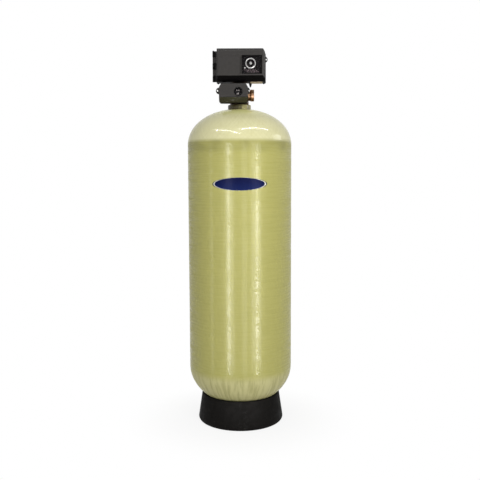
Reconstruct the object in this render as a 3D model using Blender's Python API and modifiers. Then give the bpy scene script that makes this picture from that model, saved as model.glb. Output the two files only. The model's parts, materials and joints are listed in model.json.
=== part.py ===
"""Acid neutralizing filter: a wound glass-fibre pressure tank in a moulded boot, with its media and
distributor inside and a brass control valve with two drive boxes on top.

Metres, +Z up. The front faces -Y. The origin is on the floor, on the axis of the tank.
"""

import math
from collections import namedtuple

import bmesh
import bpy
from mathutils import Matrix, Vector

# Clearances. Solids that are fused or cut are kept off each other's faces by a share of SEAT.
SEAT = 0.0003
SIDE_RUN = 0.0015
FREE_PLAY = 0.0005
# How far a cutting solid reaches past the face that it cuts through
CUT_PAST = 0.010

# Pressure tank
TANK_RADIUS = 0.308
TANK_WALL = 0.011
TANK_GROUND_GAP = 0.102
BOTTOM_DOME_DEPTH = 0.242
TANK_SIDE_HEIGHT = 1.3265
TOP_DOME_HEIGHT = 0.213
TOP_DOME_FULLNESS = 2.08
BOTTOM_DOME_FULLNESS = 2.0
NECK_RADIUS = 0.068
NECK_RISE = 0.0215
NECK_EDGE = 0.003
OPENING_RADIUS = 0.0508
TANK_STEPS = 40
DOME_STEPS = 8
INNER_DOME_STEPS = 4

# Boot
BOOT_HEIGHT = 0.173
BOOT_LIP = 0.017
BOOT_FLARE = 0.022
BOOT_WALL = 0.009
BOOT_EDGE = 0.003
BOOT_FOOT_ROUND = 0.024
BOOT_FOOT_STEPS = 3
BOOT_FOOT_WIDTH = 0.046
BOOT_FLOOR_THICKNESS = 0.012
BOOT_SEAT_DEPTH = 0.022
BOOT_SEAT_THICKNESS = 0.008
BOOT_RIBS = 8
BOOT_RIB_THICKNESS = 0.006
BOOT_RIB_REACH = 0.022

# Front label
LABEL_WIDTH = 0.300
LABEL_HEIGHT = 0.071
LABEL_THICKNESS = 0.0008
LABEL_DROP = 0.2265
LABEL_STEPS = 36

# Riser, distributor and media
RISER_RADIUS = 0.030
RISER_WALL = 0.004
RISER_SOCKET = 0.022
RISER_END_GAP = 0.003
HUB_RADIUS = 0.050
HUB_HEIGHT = 0.052
HUB_WALL = 0.006
HUB_CLEAR_OF_DOME = 0.045
LATERAL_COUNT = 8
LATERAL_RADIUS = 0.0105
LATERAL_WALL = 0.002
LATERAL_END_GAP = 0.006
LATERAL_STEPS = 8
CALCITE_DEPTH = 1.02
DIFFUSER_RADIUS = 0.044
DIFFUSER_WALL = 0.003
DIFFUSER_HEIGHT = 0.060
DIFFUSER_SLOT = 0.004
DIFFUSER_SLOT_PAIRS = 4
DIFFUSER_SLOT_MARGIN = 0.010
DIFFUSER_SLOT_TURN = math.radians(17.0)

# Tank adapter and its seal ring
ADAPTER_FLANGE_RADIUS = 0.055
ADAPTER_FLANGE_HEIGHT = 0.017
ADAPTER_EDGE = 0.002
ADAPTER_BORE_RADIUS = 0.040
ADAPTER_REACH = 0.043
SEAL_RING_THICKNESS = 0.0026

# Valve body, measured from the top of the adapter and from the tank's axis
BODY_BASE_RADIUS = 0.0545
BODY_BASE_HEIGHT = 0.009
BODY_COLUMN_RADIUS = 0.045
BODY_BOX_GAP = 0.0015
BODY_THROAT_RADIUS = 0.018
BODY_REAR_WALL = 0.016
LOWER_AXIS_RISE = 0.0445
UPPER_AXIS_RISE = 0.1935
LOWER_CYLINDER_RADIUS = 0.037
UPPER_CYLINDER_RADIUS = 0.042
LOWER_BORE_RADIUS = 0.0235
UPPER_BORE_RADIUS = 0.0270
MOUNT_FLANGE_THICKNESS = 0.009
MOUNT_FLANGE_LIP = 0.007
REAR_PORT_OFFSET = 0.044
REAR_PORT_DROP = 0.033
REAR_PORT_RADIUS = 0.031
REAR_PORT_REACH = 0.150
REAR_SOCKET_RADIUS = 0.0245
REAR_SOCKET_DEPTH = 0.042
PORT_COLLAR_WIDTH = 0.020
PORT_COLLAR_LIP = 0.003
PASSAGE_RADIUS = 0.0125
DRAIN_RADIUS = 0.0315
DRAIN_REACH = 0.087
DRAIN_DROP = 0.008
DRAIN_SOCKET_RADIUS = 0.0245
DRAIN_SOCKET_DEPTH = 0.028
DRAIN_WEB_THICKNESS = 0.014
DRAIN_WEB_REACH = 0.063

# Pistons, their cages and end plugs
PLUG_LENGTH = 0.015
PISTON_LENGTH = 0.036
PISTON_LAND = 0.010
PISTON_WAIST = 0.005
PISTON_WALL = 0.0095
ROD_RADIUS = 0.003
ROD_GRIP = 0.009
END_PLAY = 0.001
CAGE_WINDOW = 0.012

# Drive train, the same in both boxes
GEAR_TEETH = 36
PINION_TEETH = 14
GEAR_MODULE = 0.0015
GEAR_THICKNESS = 0.008
TOOTH_ADDENDUM = 0.8
TOOTH_DEDENDUM = 1.1
TOOTH_BACKLASH = 0.0004
PRESSURE_ANGLE = math.radians(20.0)
PINION_BEARING = math.radians(-60.0)
CRANK_THROW = 0.015
CRANK_PIN_RADIUS = 0.003
YOKE_THICKNESS = 0.010
YOKE_RIM = 0.005
AXLE_RADIUS = 0.003
AXLE_OVERHANG = 0.002
PINION_SHAFT_RADIUS = 0.0022
PINION_SHAFT_GRIP = 0.008
MOTOR_RADIUS = 0.019
MOTOR_LENGTH = 0.045
MOTOR_CAP_LENGTH = 0.006
MOTOR_SHOULDER = 0.003
BRACKET_THICKNESS = 0.003
BRACKET_MARGIN = 0.010
BRACKET_FOOT = 0.022
SWITCH_SIZE = (0.0072, 0.0080, 0.0160)
SWITCH_EDGE = 0.0006
UPPER_ROD_X = -0.010
UPPER_GEAR_FRONT = 0.086
LOWER_ROD_X = 0.0145
LOWER_GEAR_FRONT = 0.112
DRUM_WIDTH = 0.038
DRUM_RADIUS = 0.0272

# Drive boxes, measured from the tank's axis and from each piston's axis
BOX_WALL = 0.003
BOX_EDGE = 0.0018
UPPER_BACK = 0.035
LOWER_BACK_GAP = 0.0025
COVER_FRONT = 0.150
UPPER_PARTING = 0.0495
UPPER_LEFT = -0.1286
UPPER_RIGHT = 0.148
UPPER_BELOW = 0.091
UPPER_ABOVE = 0.0955
UPPER_RIM = 0.004
UPPER_TOP_CHAMFER = 0.0135
UPPER_SIDE_CHAMFER = 0.014
UPPER_LEFT_CHAMFER = 0.004
UPPER_SLOPE_DEPTH = 0.030
UPPER_SLOPE_HEIGHT = 0.029
UPPER_CORNER_WIDTH = 0.012
UPPER_CORNER_HEIGHT = 0.020
PANEL_RIGHT = 0.003
PANEL_MARGIN = 0.006
PANEL_PROUD = 0.0012
LOWER_PARTING = 0.078
LOWER_LEFT = -0.117
LOWER_RIGHT = 0.050
LOWER_BELOW = 0.061
LOWER_ABOVE = 0.048
LOWER_SLOPE_DEPTH = 0.030
LOWER_SLOPE_HEIGHT = 0.031
LOWER_TOP_CHAMFER = 0.006
LOWER_SHOULDER_WIDTH = 0.013
LOWER_SHOULDER_HEIGHT = 0.023
LOWER_CORNER = 0.009
BOX_ROD_HOLE = 0.006
FOOT_LUG_WIDTH = 0.014
FOOT_LUG_DROP = 0.004

# Hinge of the upper cover
HINGE_OFFSET = 0.0214
HINGE_BARREL_RADIUS = 0.0075
HINGE_COVER_BARREL_RADIUS = 0.0062
HINGE_PIN_RADIUS = 0.0025
HINGE_PIN_HEAD_RADIUS = 0.0045
HINGE_PIN_HEAD_HEIGHT = 0.002
HINGE_LEAF = 0.0055
HINGE_KNUCKLES = 5
HINGE_KNUCKLE_GAP = 0.0006
HINGE_END_MARGIN = 0.007

# Ears and their screws
EAR_THICKNESS = 0.0055
UPPER_EAR_REACH = 0.018
UPPER_EAR_RISE = 0.044
UPPER_EAR_HEIGHT = 0.035
LOWER_LEFT_EAR_REACH = 0.019
LOWER_RIGHT_EAR_REACH = 0.012
LOWER_EAR_RISE = 0.011
LOWER_EAR_HEIGHT = 0.038
SCREW_RADIUS = 0.0022
SCREW_HEAD_RADIUS = 0.0042
SCREW_HEAD_HEIGHT = 0.003
SCREW_HEAD_EDGE = 0.001
SCREW_SLOT = 0.0012

# Window of the upper cover and the timer behind it
WINDOW_LEFT = 0.015
WINDOW_RIGHT = 0.130
WINDOW_BOTTOM = -0.050
WINDOW_TOP = 0.055
WELL_DEPTH = 0.009
WELL_WALL = 0.0025
PANE_THICKNESS = 0.002
FACE_MARGIN = 0.004
FACE_DEPTH = 0.0105
FACE_THICKNESS = 0.0025
DIAL_X = 0.0655
DIAL_RISE = 0.0125
DIAL_RADIUS = 0.0300
DIAL_RING_WIDTH = 0.0054
DIAL_THICKNESS = 0.004
DIAL_RING_PROUD = 0.001
KNOB_RADIUS = 0.0085
KNOB_HEIGHT = 0.008
KNOB_SKIRT = 0.0036
KNOB_STEP = 0.0012
KNOB_SHAFT_RADIUS = 0.0028
KNOB_SHAFT_GRIP = 0.010
BUTTON_X = 0.032
BUTTON_DROP = 0.014
BUTTON_RADIUS = 0.004
BUTTON_PROUD = 0.0055
BUTTON_TRAVEL = 0.0025
CASE_LEFT = 0.042
CASE_RIGHT = 0.108
CASE_BOTTOM = -0.033
CASE_TOP = 0.052
CASE_DEPTH = 0.025
CASE_EDGE = 0.0012
POST_RADIUS = 0.003
POST_INSET = 0.007

# Round window of the lower cover
PORTHOLE_X = -0.006
PORTHOLE_RADIUS = 0.023
PORTHOLE_LAP = 0.003

# Cord gland under the upper box
GLAND_X = 0.065
GLAND_LENGTH = 0.022
GLAND_TOP_RADIUS = 0.0085
GLAND_NECK_RADIUS = 0.0078
GLAND_TIP_RADIUS = 0.0046
GLAND_BORE_RADIUS = 0.0032
GLAND_FLANGE = 0.005
GLAND_GROOVES = 3
GLAND_GROOVE_DEPTH = 0.0009

# Facets of round pieces
ROUND_STEPS = 20
SMALL_STEPS = 10
SMOOTH_ANGLE = math.radians(32.0)

# Heights that follow from the sizes above
BOTTOM_TANGENT = TANK_GROUND_GAP + BOTTOM_DOME_DEPTH
TOP_TANGENT = BOTTOM_TANGENT + TANK_SIDE_HEIGHT
NECK_TOP = TOP_TANGENT + TOP_DOME_HEIGHT + NECK_RISE
FLANGE_BOTTOM = NECK_TOP + SEAL_RING_THICKNESS + 2 * SEAT
ADAPTER_TOP = FLANGE_BOTTOM + ADAPTER_FLANGE_HEIGHT
ADAPTER_BOTTOM = NECK_TOP - ADAPTER_REACH
LOWER_AXIS = ADAPTER_TOP + LOWER_AXIS_RISE
UPPER_AXIS = ADAPTER_TOP + UPPER_AXIS_RISE
RISER_TOP = LOWER_AXIS - LOWER_BORE_RADIUS - RISER_END_GAP
HUB_BOTTOM = TANK_GROUND_GAP + TANK_WALL + HUB_CLEAR_OF_DOME
LATERAL_HEIGHT = HUB_BOTTOM + HUB_WALL + LATERAL_RADIUS + LATERAL_WALL

# Sizes of the drive train that follow from the sizes above
GEAR_PITCH_RADIUS = GEAR_TEETH * GEAR_MODULE / 2
PINION_PITCH_RADIUS = PINION_TEETH * GEAR_MODULE / 2
GEAR_TIP_RADIUS = GEAR_PITCH_RADIUS + TOOTH_ADDENDUM * GEAR_MODULE
# A steady slide follows the crank to within this share of its throw
CRANK_LAG = 0.2106
SLOT_HALF_WIDTH = CRANK_PIN_RADIUS + CRANK_LAG * CRANK_THROW + FREE_PLAY
SLOT_HALF_HEIGHT = CRANK_THROW + CRANK_PIN_RADIUS + FREE_PLAY
YOKE_HALF_WIDTH = SLOT_HALF_WIDTH + YOKE_RIM
YOKE_HALF_HEIGHT = SLOT_HALF_HEIGHT + YOKE_RIM
LOWER_BACK = ADAPTER_FLANGE_RADIUS + LOWER_BACK_GAP

# One stage of the valve: where its rod is, how high, how far forward its flange stands, and
# the radii of its bore and of the cylinder round it
Stage = namedtuple("Stage", "name rod_x height back bore radius")
UPPER_STAGE = Stage(
    "upper", UPPER_ROD_X, UPPER_AXIS, UPPER_BACK, UPPER_BORE_RADIUS, UPPER_CYLINDER_RADIUS)
LOWER_STAGE = Stage(
    "lower", LOWER_ROD_X, LOWER_AXIS, LOWER_BACK, LOWER_BORE_RADIUS, LOWER_CYLINDER_RADIUS)
STAGES = (UPPER_STAGE, LOWER_STAGE)

UP = Vector((0.0, 0.0, 1.0))
TURN_TO = {
    "X": (0.0, math.pi / 2, 0.0),
    "Y": (-math.pi / 2, 0.0, 0.0),
    "Z": (0.0, 0.0, 0.0),
}
LAY_ON = {
    "X": (math.pi / 2, 0.0, math.pi / 2),
    "Y": (math.pi / 2, 0.0, 0.0),
    "Z": (0.0, 0.0, 0.0),
}

PALETTE = {
    "wound_resin": ((0.50, 0.47, 0.22), 0.30, 0.0),
    "boot_black": ((0.015, 0.014, 0.013), 0.55, 0.0),
    "label_navy": ((0.010, 0.022, 0.085), 0.35, 0.0),
    "pipe_white": ((0.75, 0.75, 0.72), 0.45, 0.0),
    "gravel_grey": ((0.30, 0.28, 0.25), 0.95, 0.0),
    "calcite_white": ((0.80, 0.78, 0.73), 0.95, 0.0),
    "valve_brass": ((0.42, 0.27, 0.12), 0.38, 1.0),
    "seal_rubber": ((0.012, 0.012, 0.012), 0.60, 0.0),
    "steel": ((0.55, 0.55, 0.56), 0.28, 1.0),
    "housing_black": ((0.045, 0.042, 0.040), 0.42, 0.0),
    "cover_charcoal": ((0.060, 0.056, 0.050), 0.38, 0.0),
    "clear_pane": ((0.60, 0.62, 0.62), 0.05, 0.0),
    "gear_white": ((0.70, 0.69, 0.65), 0.45, 0.0),
    "motor_zinc": ((0.42, 0.42, 0.43), 0.40, 1.0),
    "dial_dark": ((0.030, 0.030, 0.032), 0.40, 0.0),
    "dial_silver": ((0.62, 0.62, 0.62), 0.25, 1.0),
    "button_bright": ((0.72, 0.70, 0.66), 0.25, 1.0),
}


def clear_scene():
    """Remove every object that the file starts with."""
    for obj in list(bpy.data.objects):
        bpy.data.objects.remove(obj, do_unlink=True)


def make_collection(name):
    """Return a new collection linked to the scene."""
    collection = bpy.data.collections.new(name)
    bpy.context.scene.collection.children.link(collection)
    return collection


def give_material(obj, finish):
    """Give an object its own Principled material in one of the palette's finishes."""
    colour, roughness, metallic = PALETTE[finish]
    material = bpy.data.materials.new(f"{obj.name}_{finish}")
    material.use_nodes = True
    shader = material.node_tree.nodes["Principled BSDF"]
    shader.inputs["Base Color"].default_value = (*colour, 1.0)
    shader.inputs["Roughness"].default_value = roughness
    shader.inputs["Metallic"].default_value = metallic
    material.diffuse_color = (*colour, 1.0)
    obj.data.materials.clear()
    obj.data.materials.append(material)


def place_object(name, mesh, location=(0.0, 0.0, 0.0), rotation=(0.0, 0.0, 0.0), finish=None):
    """Link a mesh as a piece of the filter, or as a cutter where it has no finish."""
    obj = bpy.data.objects.new(name, mesh)
    obj.location = location
    obj.rotation_euler = rotation
    if finish is None:
        CUTTERS.objects.link(obj)
        obj.hide_render = True
        obj.display_type = "WIRE"
    else:
        PIECES.objects.link(obj)
        give_material(obj, finish)
    return obj


def mesh_from(name, bm, smooth=False):
    """Turn a bmesh into mesh data, shaded smooth between its sharp edges where it is round."""
    mesh = bpy.data.meshes.new(name)
    bm.to_mesh(mesh)
    bm.free()
    if smooth:
        mesh.shade_smooth()
        mesh.set_sharp_from_angle(angle=SMOOTH_ANGLE)
    return mesh


def block(name, low, high, finish=None, edge=0.0):
    """Return a box between two corners, with rounded edges where edge is given."""
    low, high = Vector(low), Vector(high)
    bm = bmesh.new()
    bmesh.ops.create_cube(bm, size=1.0)
    bmesh.ops.scale(bm, vec=high - low, verts=bm.verts)
    obj = place_object(name, mesh_from(name, bm), (low + high) / 2, finish=finish)
    if edge:
        bevel = obj.modifiers.new("edges", "BEVEL")
        bevel.width = edge
        bevel.segments = 2
        bevel.limit_method = "ANGLE"
    return obj


def cylinder(name, radius, axis, start, end, centre, finish=None, steps=ROUND_STEPS):
    """Return a cylinder along an axis, from start to end of that coordinate."""
    along = "XYZ".index(axis)
    middle = Vector(centre)
    middle[along] = (start + end) / 2
    bm = bmesh.new()
    bmesh.ops.create_cone(
        bm, cap_ends=True, segments=steps, radius1=radius, radius2=radius, depth=abs(end - start))
    return place_object(name, mesh_from(name, bm, smooth=True), middle, TURN_TO[axis], finish)


def turned(name, profile, axis, centre, finish=None, steps=ROUND_STEPS, closed=False):
    """Return a revolved piece. The profile is (radius, height) and runs down its outer side."""
    bm = bmesh.new()
    points = [bm.verts.new((radius, 0.0, height)) for radius, height in profile]
    for first, second in zip(points, points[1:]):
        bm.edges.new((first, second))
    if closed:
        bm.edges.new((points[-1], points[0]))
    mesh = bpy.data.meshes.new(name)
    bm.to_mesh(mesh)
    bm.free()
    obj = place_object(name, mesh, centre, TURN_TO[axis], finish)
    screw = obj.modifiers.new("turn", "SCREW")
    screw.steps = steps
    screw.render_steps = steps
    screw.use_merge_vertices = True
    screw.merge_threshold = 0.00001
    screw.use_smooth_shade = True
    return obj


def plate(name, outlines, axis, centre, thickness, finish=None):
    """Return a flat plate across an axis. The first outline is its edge, the rest are its holes."""
    curve = bpy.data.curves.new(f"{name}_outline", "CURVE")
    curve.dimensions = "2D"
    curve.fill_mode = "BOTH"
    curve.extrude = thickness / 2
    for outline in outlines:
        spline = curve.splines.new("POLY")
        spline.points.add(len(outline) - 1)
        for point, (across, up) in zip(spline.points, outline):
            point.co = (across, up, 0.0, 1.0)
        spline.use_cyclic_u = True
    drawn = bpy.data.objects.new(f"{name}_drawn", curve)
    bpy.context.scene.collection.objects.link(drawn)
    mesh = mesh_of(drawn)
    bpy.data.objects.remove(drawn, do_unlink=True)
    bm = bmesh.new()
    bm.from_mesh(mesh)
    bmesh.ops.remove_doubles(bm, verts=bm.verts, dist=0.00001)
    bpy.data.meshes.remove(mesh)
    return place_object(name, mesh_from(name, bm), centre, LAY_ON[axis], finish)


def mesh_of(obj):
    """Return a new mesh that holds an object as its modifiers or its curve make it."""
    graph = bpy.context.evaluated_depsgraph_get()
    return bpy.data.meshes.new_from_object(obj.evaluated_get(graph))


def faceted(name, planes, finish=None, edge=0.0):
    """Return the solid that lies behind every plane, each a point and an outward normal."""
    bm = bmesh.new()
    bmesh.ops.create_cube(bm, size=2.0)
    bmesh.ops.translate(bm, vec=UP * UPPER_AXIS, verts=bm.verts)
    for point, normal in planes:
        everything = bm.verts[:] + bm.edges[:] + bm.faces[:]
        cut = bmesh.ops.bisect_plane(
            bm, geom=everything, plane_co=point, plane_no=normal, clear_outer=True, dist=0.000001)
        rim = [item for item in cut["geom_cut"] if isinstance(item, bmesh.types.BMEdge)]
        if rim:
            bmesh.ops.contextual_create(bm, geom=rim)
    bmesh.ops.recalc_face_normals(bm, faces=bm.faces)
    if edge:
        bmesh.ops.bevel(
            bm, geom=bm.edges[:], offset=edge, segments=1, affect="EDGES", profile=0.5, material=-1,
            clamp_overlap=True)
    return place_object(name, mesh_from(name, bm), finish=finish)


def combine(target, tool, operation):
    """Add a Boolean modifier, and keep the other solid with the cutters."""
    boolean = target.modifiers.new(tool.name, "BOOLEAN")
    boolean.operation = operation
    boolean.solver = "EXACT"
    boolean.object = tool


def cut(target, tool):
    """Cut a solid out of a piece."""
    combine(target, tool, "DIFFERENCE")


def join(target, tool):
    """Fuse a solid to a piece."""
    combine(target, tool, "UNION")


def axis_empty(name, location, *pieces):
    """Put an empty on a joint's axis and hang the pieces that move there under it."""
    empty = bpy.data.objects.new(name, None)
    empty.location = location
    empty.empty_display_size = 0.02
    PIECES.objects.link(empty)
    for piece in pieces:
        piece.parent = empty
        piece.matrix_parent_inverse = Matrix.Translation(-Vector(location))
    return empty


def arc(centre, radius_across, radius_up, start, end, steps):
    """Return points along an elliptic arc, with angles in degrees."""
    points = []
    for step in range(steps + 1):
        angle = math.radians(start + (end - start) * step / steps)
        across = centre[0] + radius_across * math.cos(angle)
        points.append((across, centre[1] + radius_up * math.sin(angle)))
    return points


def oval_outline(radius_across, radius_up, steps):
    """Return the points of an ellipse round the origin."""
    return arc((0, 0), radius_across, radius_up, 0, 360 - 360 / steps, steps - 1)


def ring_profile(inner, outer, bottom, top):
    """Return the closed profile of a plain ring."""
    return [(outer, top), (outer, bottom), (inner, bottom), (inner, top)]


def dome_points(equator, height, fullness, pole_radius, steps):
    """Return (radius, rise) points of a dome, from the pole's radius down to its tangent line."""
    start = math.acos((pole_radius / equator) ** (fullness / 2))
    points = []
    for step in range(steps + 1):
        angle = start * (1.0 - step / steps)
        radius = equator * math.cos(angle) ** (2 / fullness)
        rise = height * math.sin(angle) ** (2 / fullness)
        points.append((radius, rise))
    return points


def outer_bottom_points():
    """Return the outside of the bottom dome, from its tangent line down to the axis."""
    dome = dome_points(TANK_RADIUS, BOTTOM_DOME_DEPTH, BOTTOM_DOME_FULLNESS, 0.0, DOME_STEPS)
    return [(radius, BOTTOM_TANGENT - rise) for radius, rise in reversed(dome)]


def inner_bottom_points(offset=0.0):
    """Return the inside of the bottom dome, from the axis up to its tangent line."""
    inset = TANK_WALL + offset
    dome = dome_points(
        TANK_RADIUS - inset, BOTTOM_DOME_DEPTH - inset, BOTTOM_DOME_FULLNESS, 0.0, INNER_DOME_STEPS)
    return [(radius, BOTTOM_TANGENT - rise) for radius, rise in dome]


def radius_at(points, height):
    """Return the radius of a turned outline at a height, read between its points."""
    for (radius_a, height_a), (radius_b, height_b) in zip(points, points[1:]):
        low, high = sorted((height_a, height_b))
        if low <= height <= high and high > low:
            share = (height - height_a) / (height_b - height_a)
            return radius_a + (radius_b - radius_a) * share
    return points[-1][0]


def build_tank_shell():
    """Wound shell with two domes and the neck ring round its threaded opening."""
    top = dome_points(TANK_RADIUS, TOP_DOME_HEIGHT, TOP_DOME_FULLNESS, NECK_RADIUS, DOME_STEPS)
    inner_top = dome_points(
        TANK_RADIUS - TANK_WALL, TOP_DOME_HEIGHT - TANK_WALL, TOP_DOME_FULLNESS, OPENING_RADIUS,
        INNER_DOME_STEPS)
    profile = inner_bottom_points()
    profile += [(radius, TOP_TANGENT + rise) for radius, rise in reversed(inner_top)]
    profile += [(OPENING_RADIUS, NECK_TOP), (NECK_RADIUS - NECK_EDGE, NECK_TOP)]
    profile += [(NECK_RADIUS, NECK_TOP - NECK_EDGE)]
    profile += [(radius, TOP_TANGENT + rise) for radius, rise in top]
    profile += outer_bottom_points()
    return turned("tank_shell", profile, "Z", (0, 0, 0), "wound_resin", TANK_STEPS)


def boot_radii():
    """Return the boot's rim radius and foot radius."""
    rim = radius_at(outer_bottom_points(), BOOT_HEIGHT) + BOOT_LIP
    return rim, rim + BOOT_FLARE


def boot_seat_points():
    """Return the seat that carries the bottom dome, from its low edge up to the rim."""
    dome = outer_bottom_points()
    low = BOOT_HEIGHT - BOOT_SEAT_DEPTH
    heights = sorted(height for _, height in dome if low < height < BOOT_HEIGHT)
    return [(radius_at(dome, height) + FREE_PLAY, height) for height in [low, *heights, BOOT_HEIGHT]]


def build_boot():
    """Moulded boot: a tapered wall with a foot, a seat for the dome and ribs under the seat."""
    rim, foot = boot_radii()
    seat = boot_seat_points()
    seat_low_radius, seat_low = seat[0]
    under = seat_low - BOOT_SEAT_THICKNESS
    wall_top = rim - BOOT_WALL
    wall_foot = foot - BOOT_WALL
    foot_centre = (foot - BOOT_FOOT_ROUND, BOOT_FOOT_ROUND)
    profile = [(rim - BOOT_EDGE, BOOT_HEIGHT), (rim, BOOT_HEIGHT - BOOT_EDGE)]
    profile += arc(foot_centre, BOOT_FOOT_ROUND, BOOT_FOOT_ROUND, 0, -90, BOOT_FOOT_STEPS)
    profile += [(foot - BOOT_FOOT_WIDTH, 0.0), (foot - BOOT_FOOT_WIDTH, BOOT_FLOOR_THICKNESS)]
    profile += [(wall_foot, BOOT_FLOOR_THICKNESS), (wall_top, under), (seat_low_radius, under)]
    profile += seat
    boot = turned("tank_boot", profile, "Z", (0, 0, 0), "boot_black", TANK_STEPS, closed=True)
    rib_inner = max(seat_low_radius, wall_top - BOOT_RIB_REACH)
    bite = BOOT_SEAT_THICKNESS / 2
    outline = [(rib_inner, under + bite), (wall_top + bite, under + bite)]
    outline += [(wall_foot + bite, BOOT_FLOOR_THICKNESS - bite)]
    outline += [(wall_foot - BOOT_RIB_REACH / 2, BOOT_FLOOR_THICKNESS - bite)]
    for number in range(BOOT_RIBS):
        rib = plate(f"boot_rib_{number + 1}", [outline], "Y", (0, 0, 0), BOOT_RIB_THICKNESS)
        rib.rotation_euler = (math.pi / 2, 0.0, 2 * math.pi * (number + 0.5) / BOOT_RIBS)
        join(boot, rib)
    return boot


def build_label():
    """Thin oval label that lies round the front of the shell."""
    inner = TANK_RADIUS + SEAT
    middle = TOP_TANGENT - LABEL_DROP
    half = LABEL_HEIGHT
    band = ring_profile(inner, inner + LABEL_THICKNESS, -half, half)
    label = turned(
        "front_label", band, "Z", (0, 0, middle), "label_navy", TANK_STEPS, closed=True)
    oval = oval_outline(LABEL_WIDTH / 2, LABEL_HEIGHT / 2, LABEL_STEPS)
    stamp = plate("label_stamp", [oval], "Y", (0, -TANK_RADIUS, middle), TANK_RADIUS)
    combine(label, stamp, "INTERSECT")
    return label


def build_riser():
    """Riser tube from the distributor hub up into the valve."""
    bottom = HUB_BOTTOM + HUB_HEIGHT - RISER_SOCKET
    wall = ring_profile(RISER_RADIUS - RISER_WALL, RISER_RADIUS, bottom, RISER_TOP)
    return turned("riser_tube", wall, "Z", (0, 0, 0), "pipe_white", ROUND_STEPS, closed=True)


def build_diffuser():
    """Slotted basket under the adapter, which spreads the incoming water."""
    top = ADAPTER_BOTTOM - SEAT
    bottom = top - DIFFUSER_HEIGHT
    bore = RISER_RADIUS + SEAT
    outer = DIFFUSER_RADIUS
    profile = [(outer, top), (outer, bottom), (bore, bottom), (bore, bottom + DIFFUSER_WALL)]
    profile += [(outer - DIFFUSER_WALL, bottom + DIFFUSER_WALL), (outer - DIFFUSER_WALL, top)]
    basket = turned(
        "upper_diffuser", profile, "Z", (0, 0, 0), "pipe_white", ROUND_STEPS, closed=True)
    for number in range(DIFFUSER_SLOT_PAIRS):
        low = (-outer - CUT_PAST, -DIFFUSER_SLOT / 2, bottom + DIFFUSER_SLOT_MARGIN)
        high = (outer + CUT_PAST, DIFFUSER_SLOT / 2, top - DIFFUSER_SLOT_MARGIN)
        slot = block(f"diffuser_slot_{number + 1}", low, high)
        slot.rotation_euler = (0, 0, math.pi * number / DIFFUSER_SLOT_PAIRS + DIFFUSER_SLOT_TURN)
        cut(basket, slot)
    return basket


def lateral_angle(number):
    """Return the heading of a lateral, in radians."""
    return 2 * math.pi * (number + 0.5) / LATERAL_COUNT


def lateral_tip():
    """Return how far from the axis a lateral ends, so that its underside clears the dome."""
    return radius_at(inner_bottom_points(), LATERAL_HEIGHT - LATERAL_RADIUS) - LATERAL_END_GAP


def spoke(name, radius, start, end, heading):
    """Return a round cutter that points away from the tank's axis at the laterals' height."""
    bar = cylinder(name, radius, "X", start, end, (0, 0, LATERAL_HEIGHT), steps=LATERAL_STEPS)
    middle = (start + end) / 2
    bar.location = (middle * math.cos(heading), middle * math.sin(heading), LATERAL_HEIGHT)
    bar.rotation_euler = (0, math.pi / 2, heading)
    return bar


def build_hub():
    """Hub that joins the riser to the laterals."""
    top = HUB_BOTTOM + HUB_HEIGHT
    shoulder = top - RISER_SOCKET - SEAT
    socket = RISER_RADIUS + SEAT
    chamber = HUB_RADIUS - HUB_WALL
    profile = [(0, HUB_BOTTOM + HUB_WALL), (chamber, HUB_BOTTOM + HUB_WALL), (chamber, shoulder)]
    profile += [(socket, shoulder), (socket, top), (HUB_RADIUS, top), (HUB_RADIUS, HUB_BOTTOM)]
    profile += [(0, HUB_BOTTOM)]
    hub = turned("distributor_hub", profile, "Z", (0, 0, 0), "pipe_white")
    for number in range(LATERAL_COUNT):
        port = spoke(
            f"hub_port_{number + 1}", LATERAL_RADIUS + SEAT, chamber - CUT_PAST, HUB_RADIUS + CUT_PAST,
            lateral_angle(number))
        cut(hub, port)
    return hub


def build_laterals():
    """Straight tubes that collect the water at the bottom of the bed, closed at their tips."""
    root = HUB_RADIUS - HUB_WALL
    length = lateral_tip() - root
    bore = LATERAL_RADIUS - LATERAL_WALL
    profile = [(bore, 0), (bore, length - LATERAL_WALL), (0, length - LATERAL_WALL)]
    profile = [(0, length), (LATERAL_RADIUS, length), (LATERAL_RADIUS, 0)] + profile
    laterals = []
    for number in range(LATERAL_COUNT):
        heading = lateral_angle(number)
        centre = (root * math.cos(heading), root * math.sin(heading), LATERAL_HEIGHT)
        lateral = turned(f"lateral_{number + 1}", profile, "X", centre, "pipe_white", LATERAL_STEPS)
        lateral.rotation_euler = (0, math.pi / 2, heading)
        laterals.append(lateral)
    return laterals


def build_gravel():
    """Gravel underbed that fills the bottom dome round the distributor."""
    outline = inner_bottom_points(FREE_PLAY)
    profile = [(0, outline[-1][1]), *reversed(outline)]
    bed = turned("gravel_bed", profile, "Z", (0, 0, 0), "gravel_grey", TANK_STEPS)
    cut(bed, cylinder(
        "gravel_riser_hole", RISER_RADIUS + SEAT, "Z", HUB_BOTTOM + HUB_HEIGHT / 2,
        BOTTOM_TANGENT + CUT_PAST, (0, 0, 0)))
    cut(bed, cylinder(
        "gravel_hub_hole", HUB_RADIUS + SEAT, "Z", HUB_BOTTOM - SEAT, HUB_BOTTOM + HUB_HEIGHT + SEAT,
        (0, 0, 0)))
    for number in range(LATERAL_COUNT):
        hole = spoke(
            f"gravel_lateral_hole_{number + 1}", LATERAL_RADIUS + FREE_PLAY, HUB_RADIUS - CUT_PAST,
            lateral_tip() + SEAT, lateral_angle(number))
        cut(bed, hole)
    return bed


def build_calcite():
    """Calcite bed, which the riser passes through."""
    bottom = BOTTOM_TANGENT + SEAT
    ring = ring_profile(
        RISER_RADIUS + SEAT, TANK_RADIUS - TANK_WALL - FREE_PLAY, bottom, bottom + CALCITE_DEPTH)
    return turned("calcite_bed", ring, "Z", (0, 0, 0), "calcite_white", TANK_STEPS, closed=True)


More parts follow.
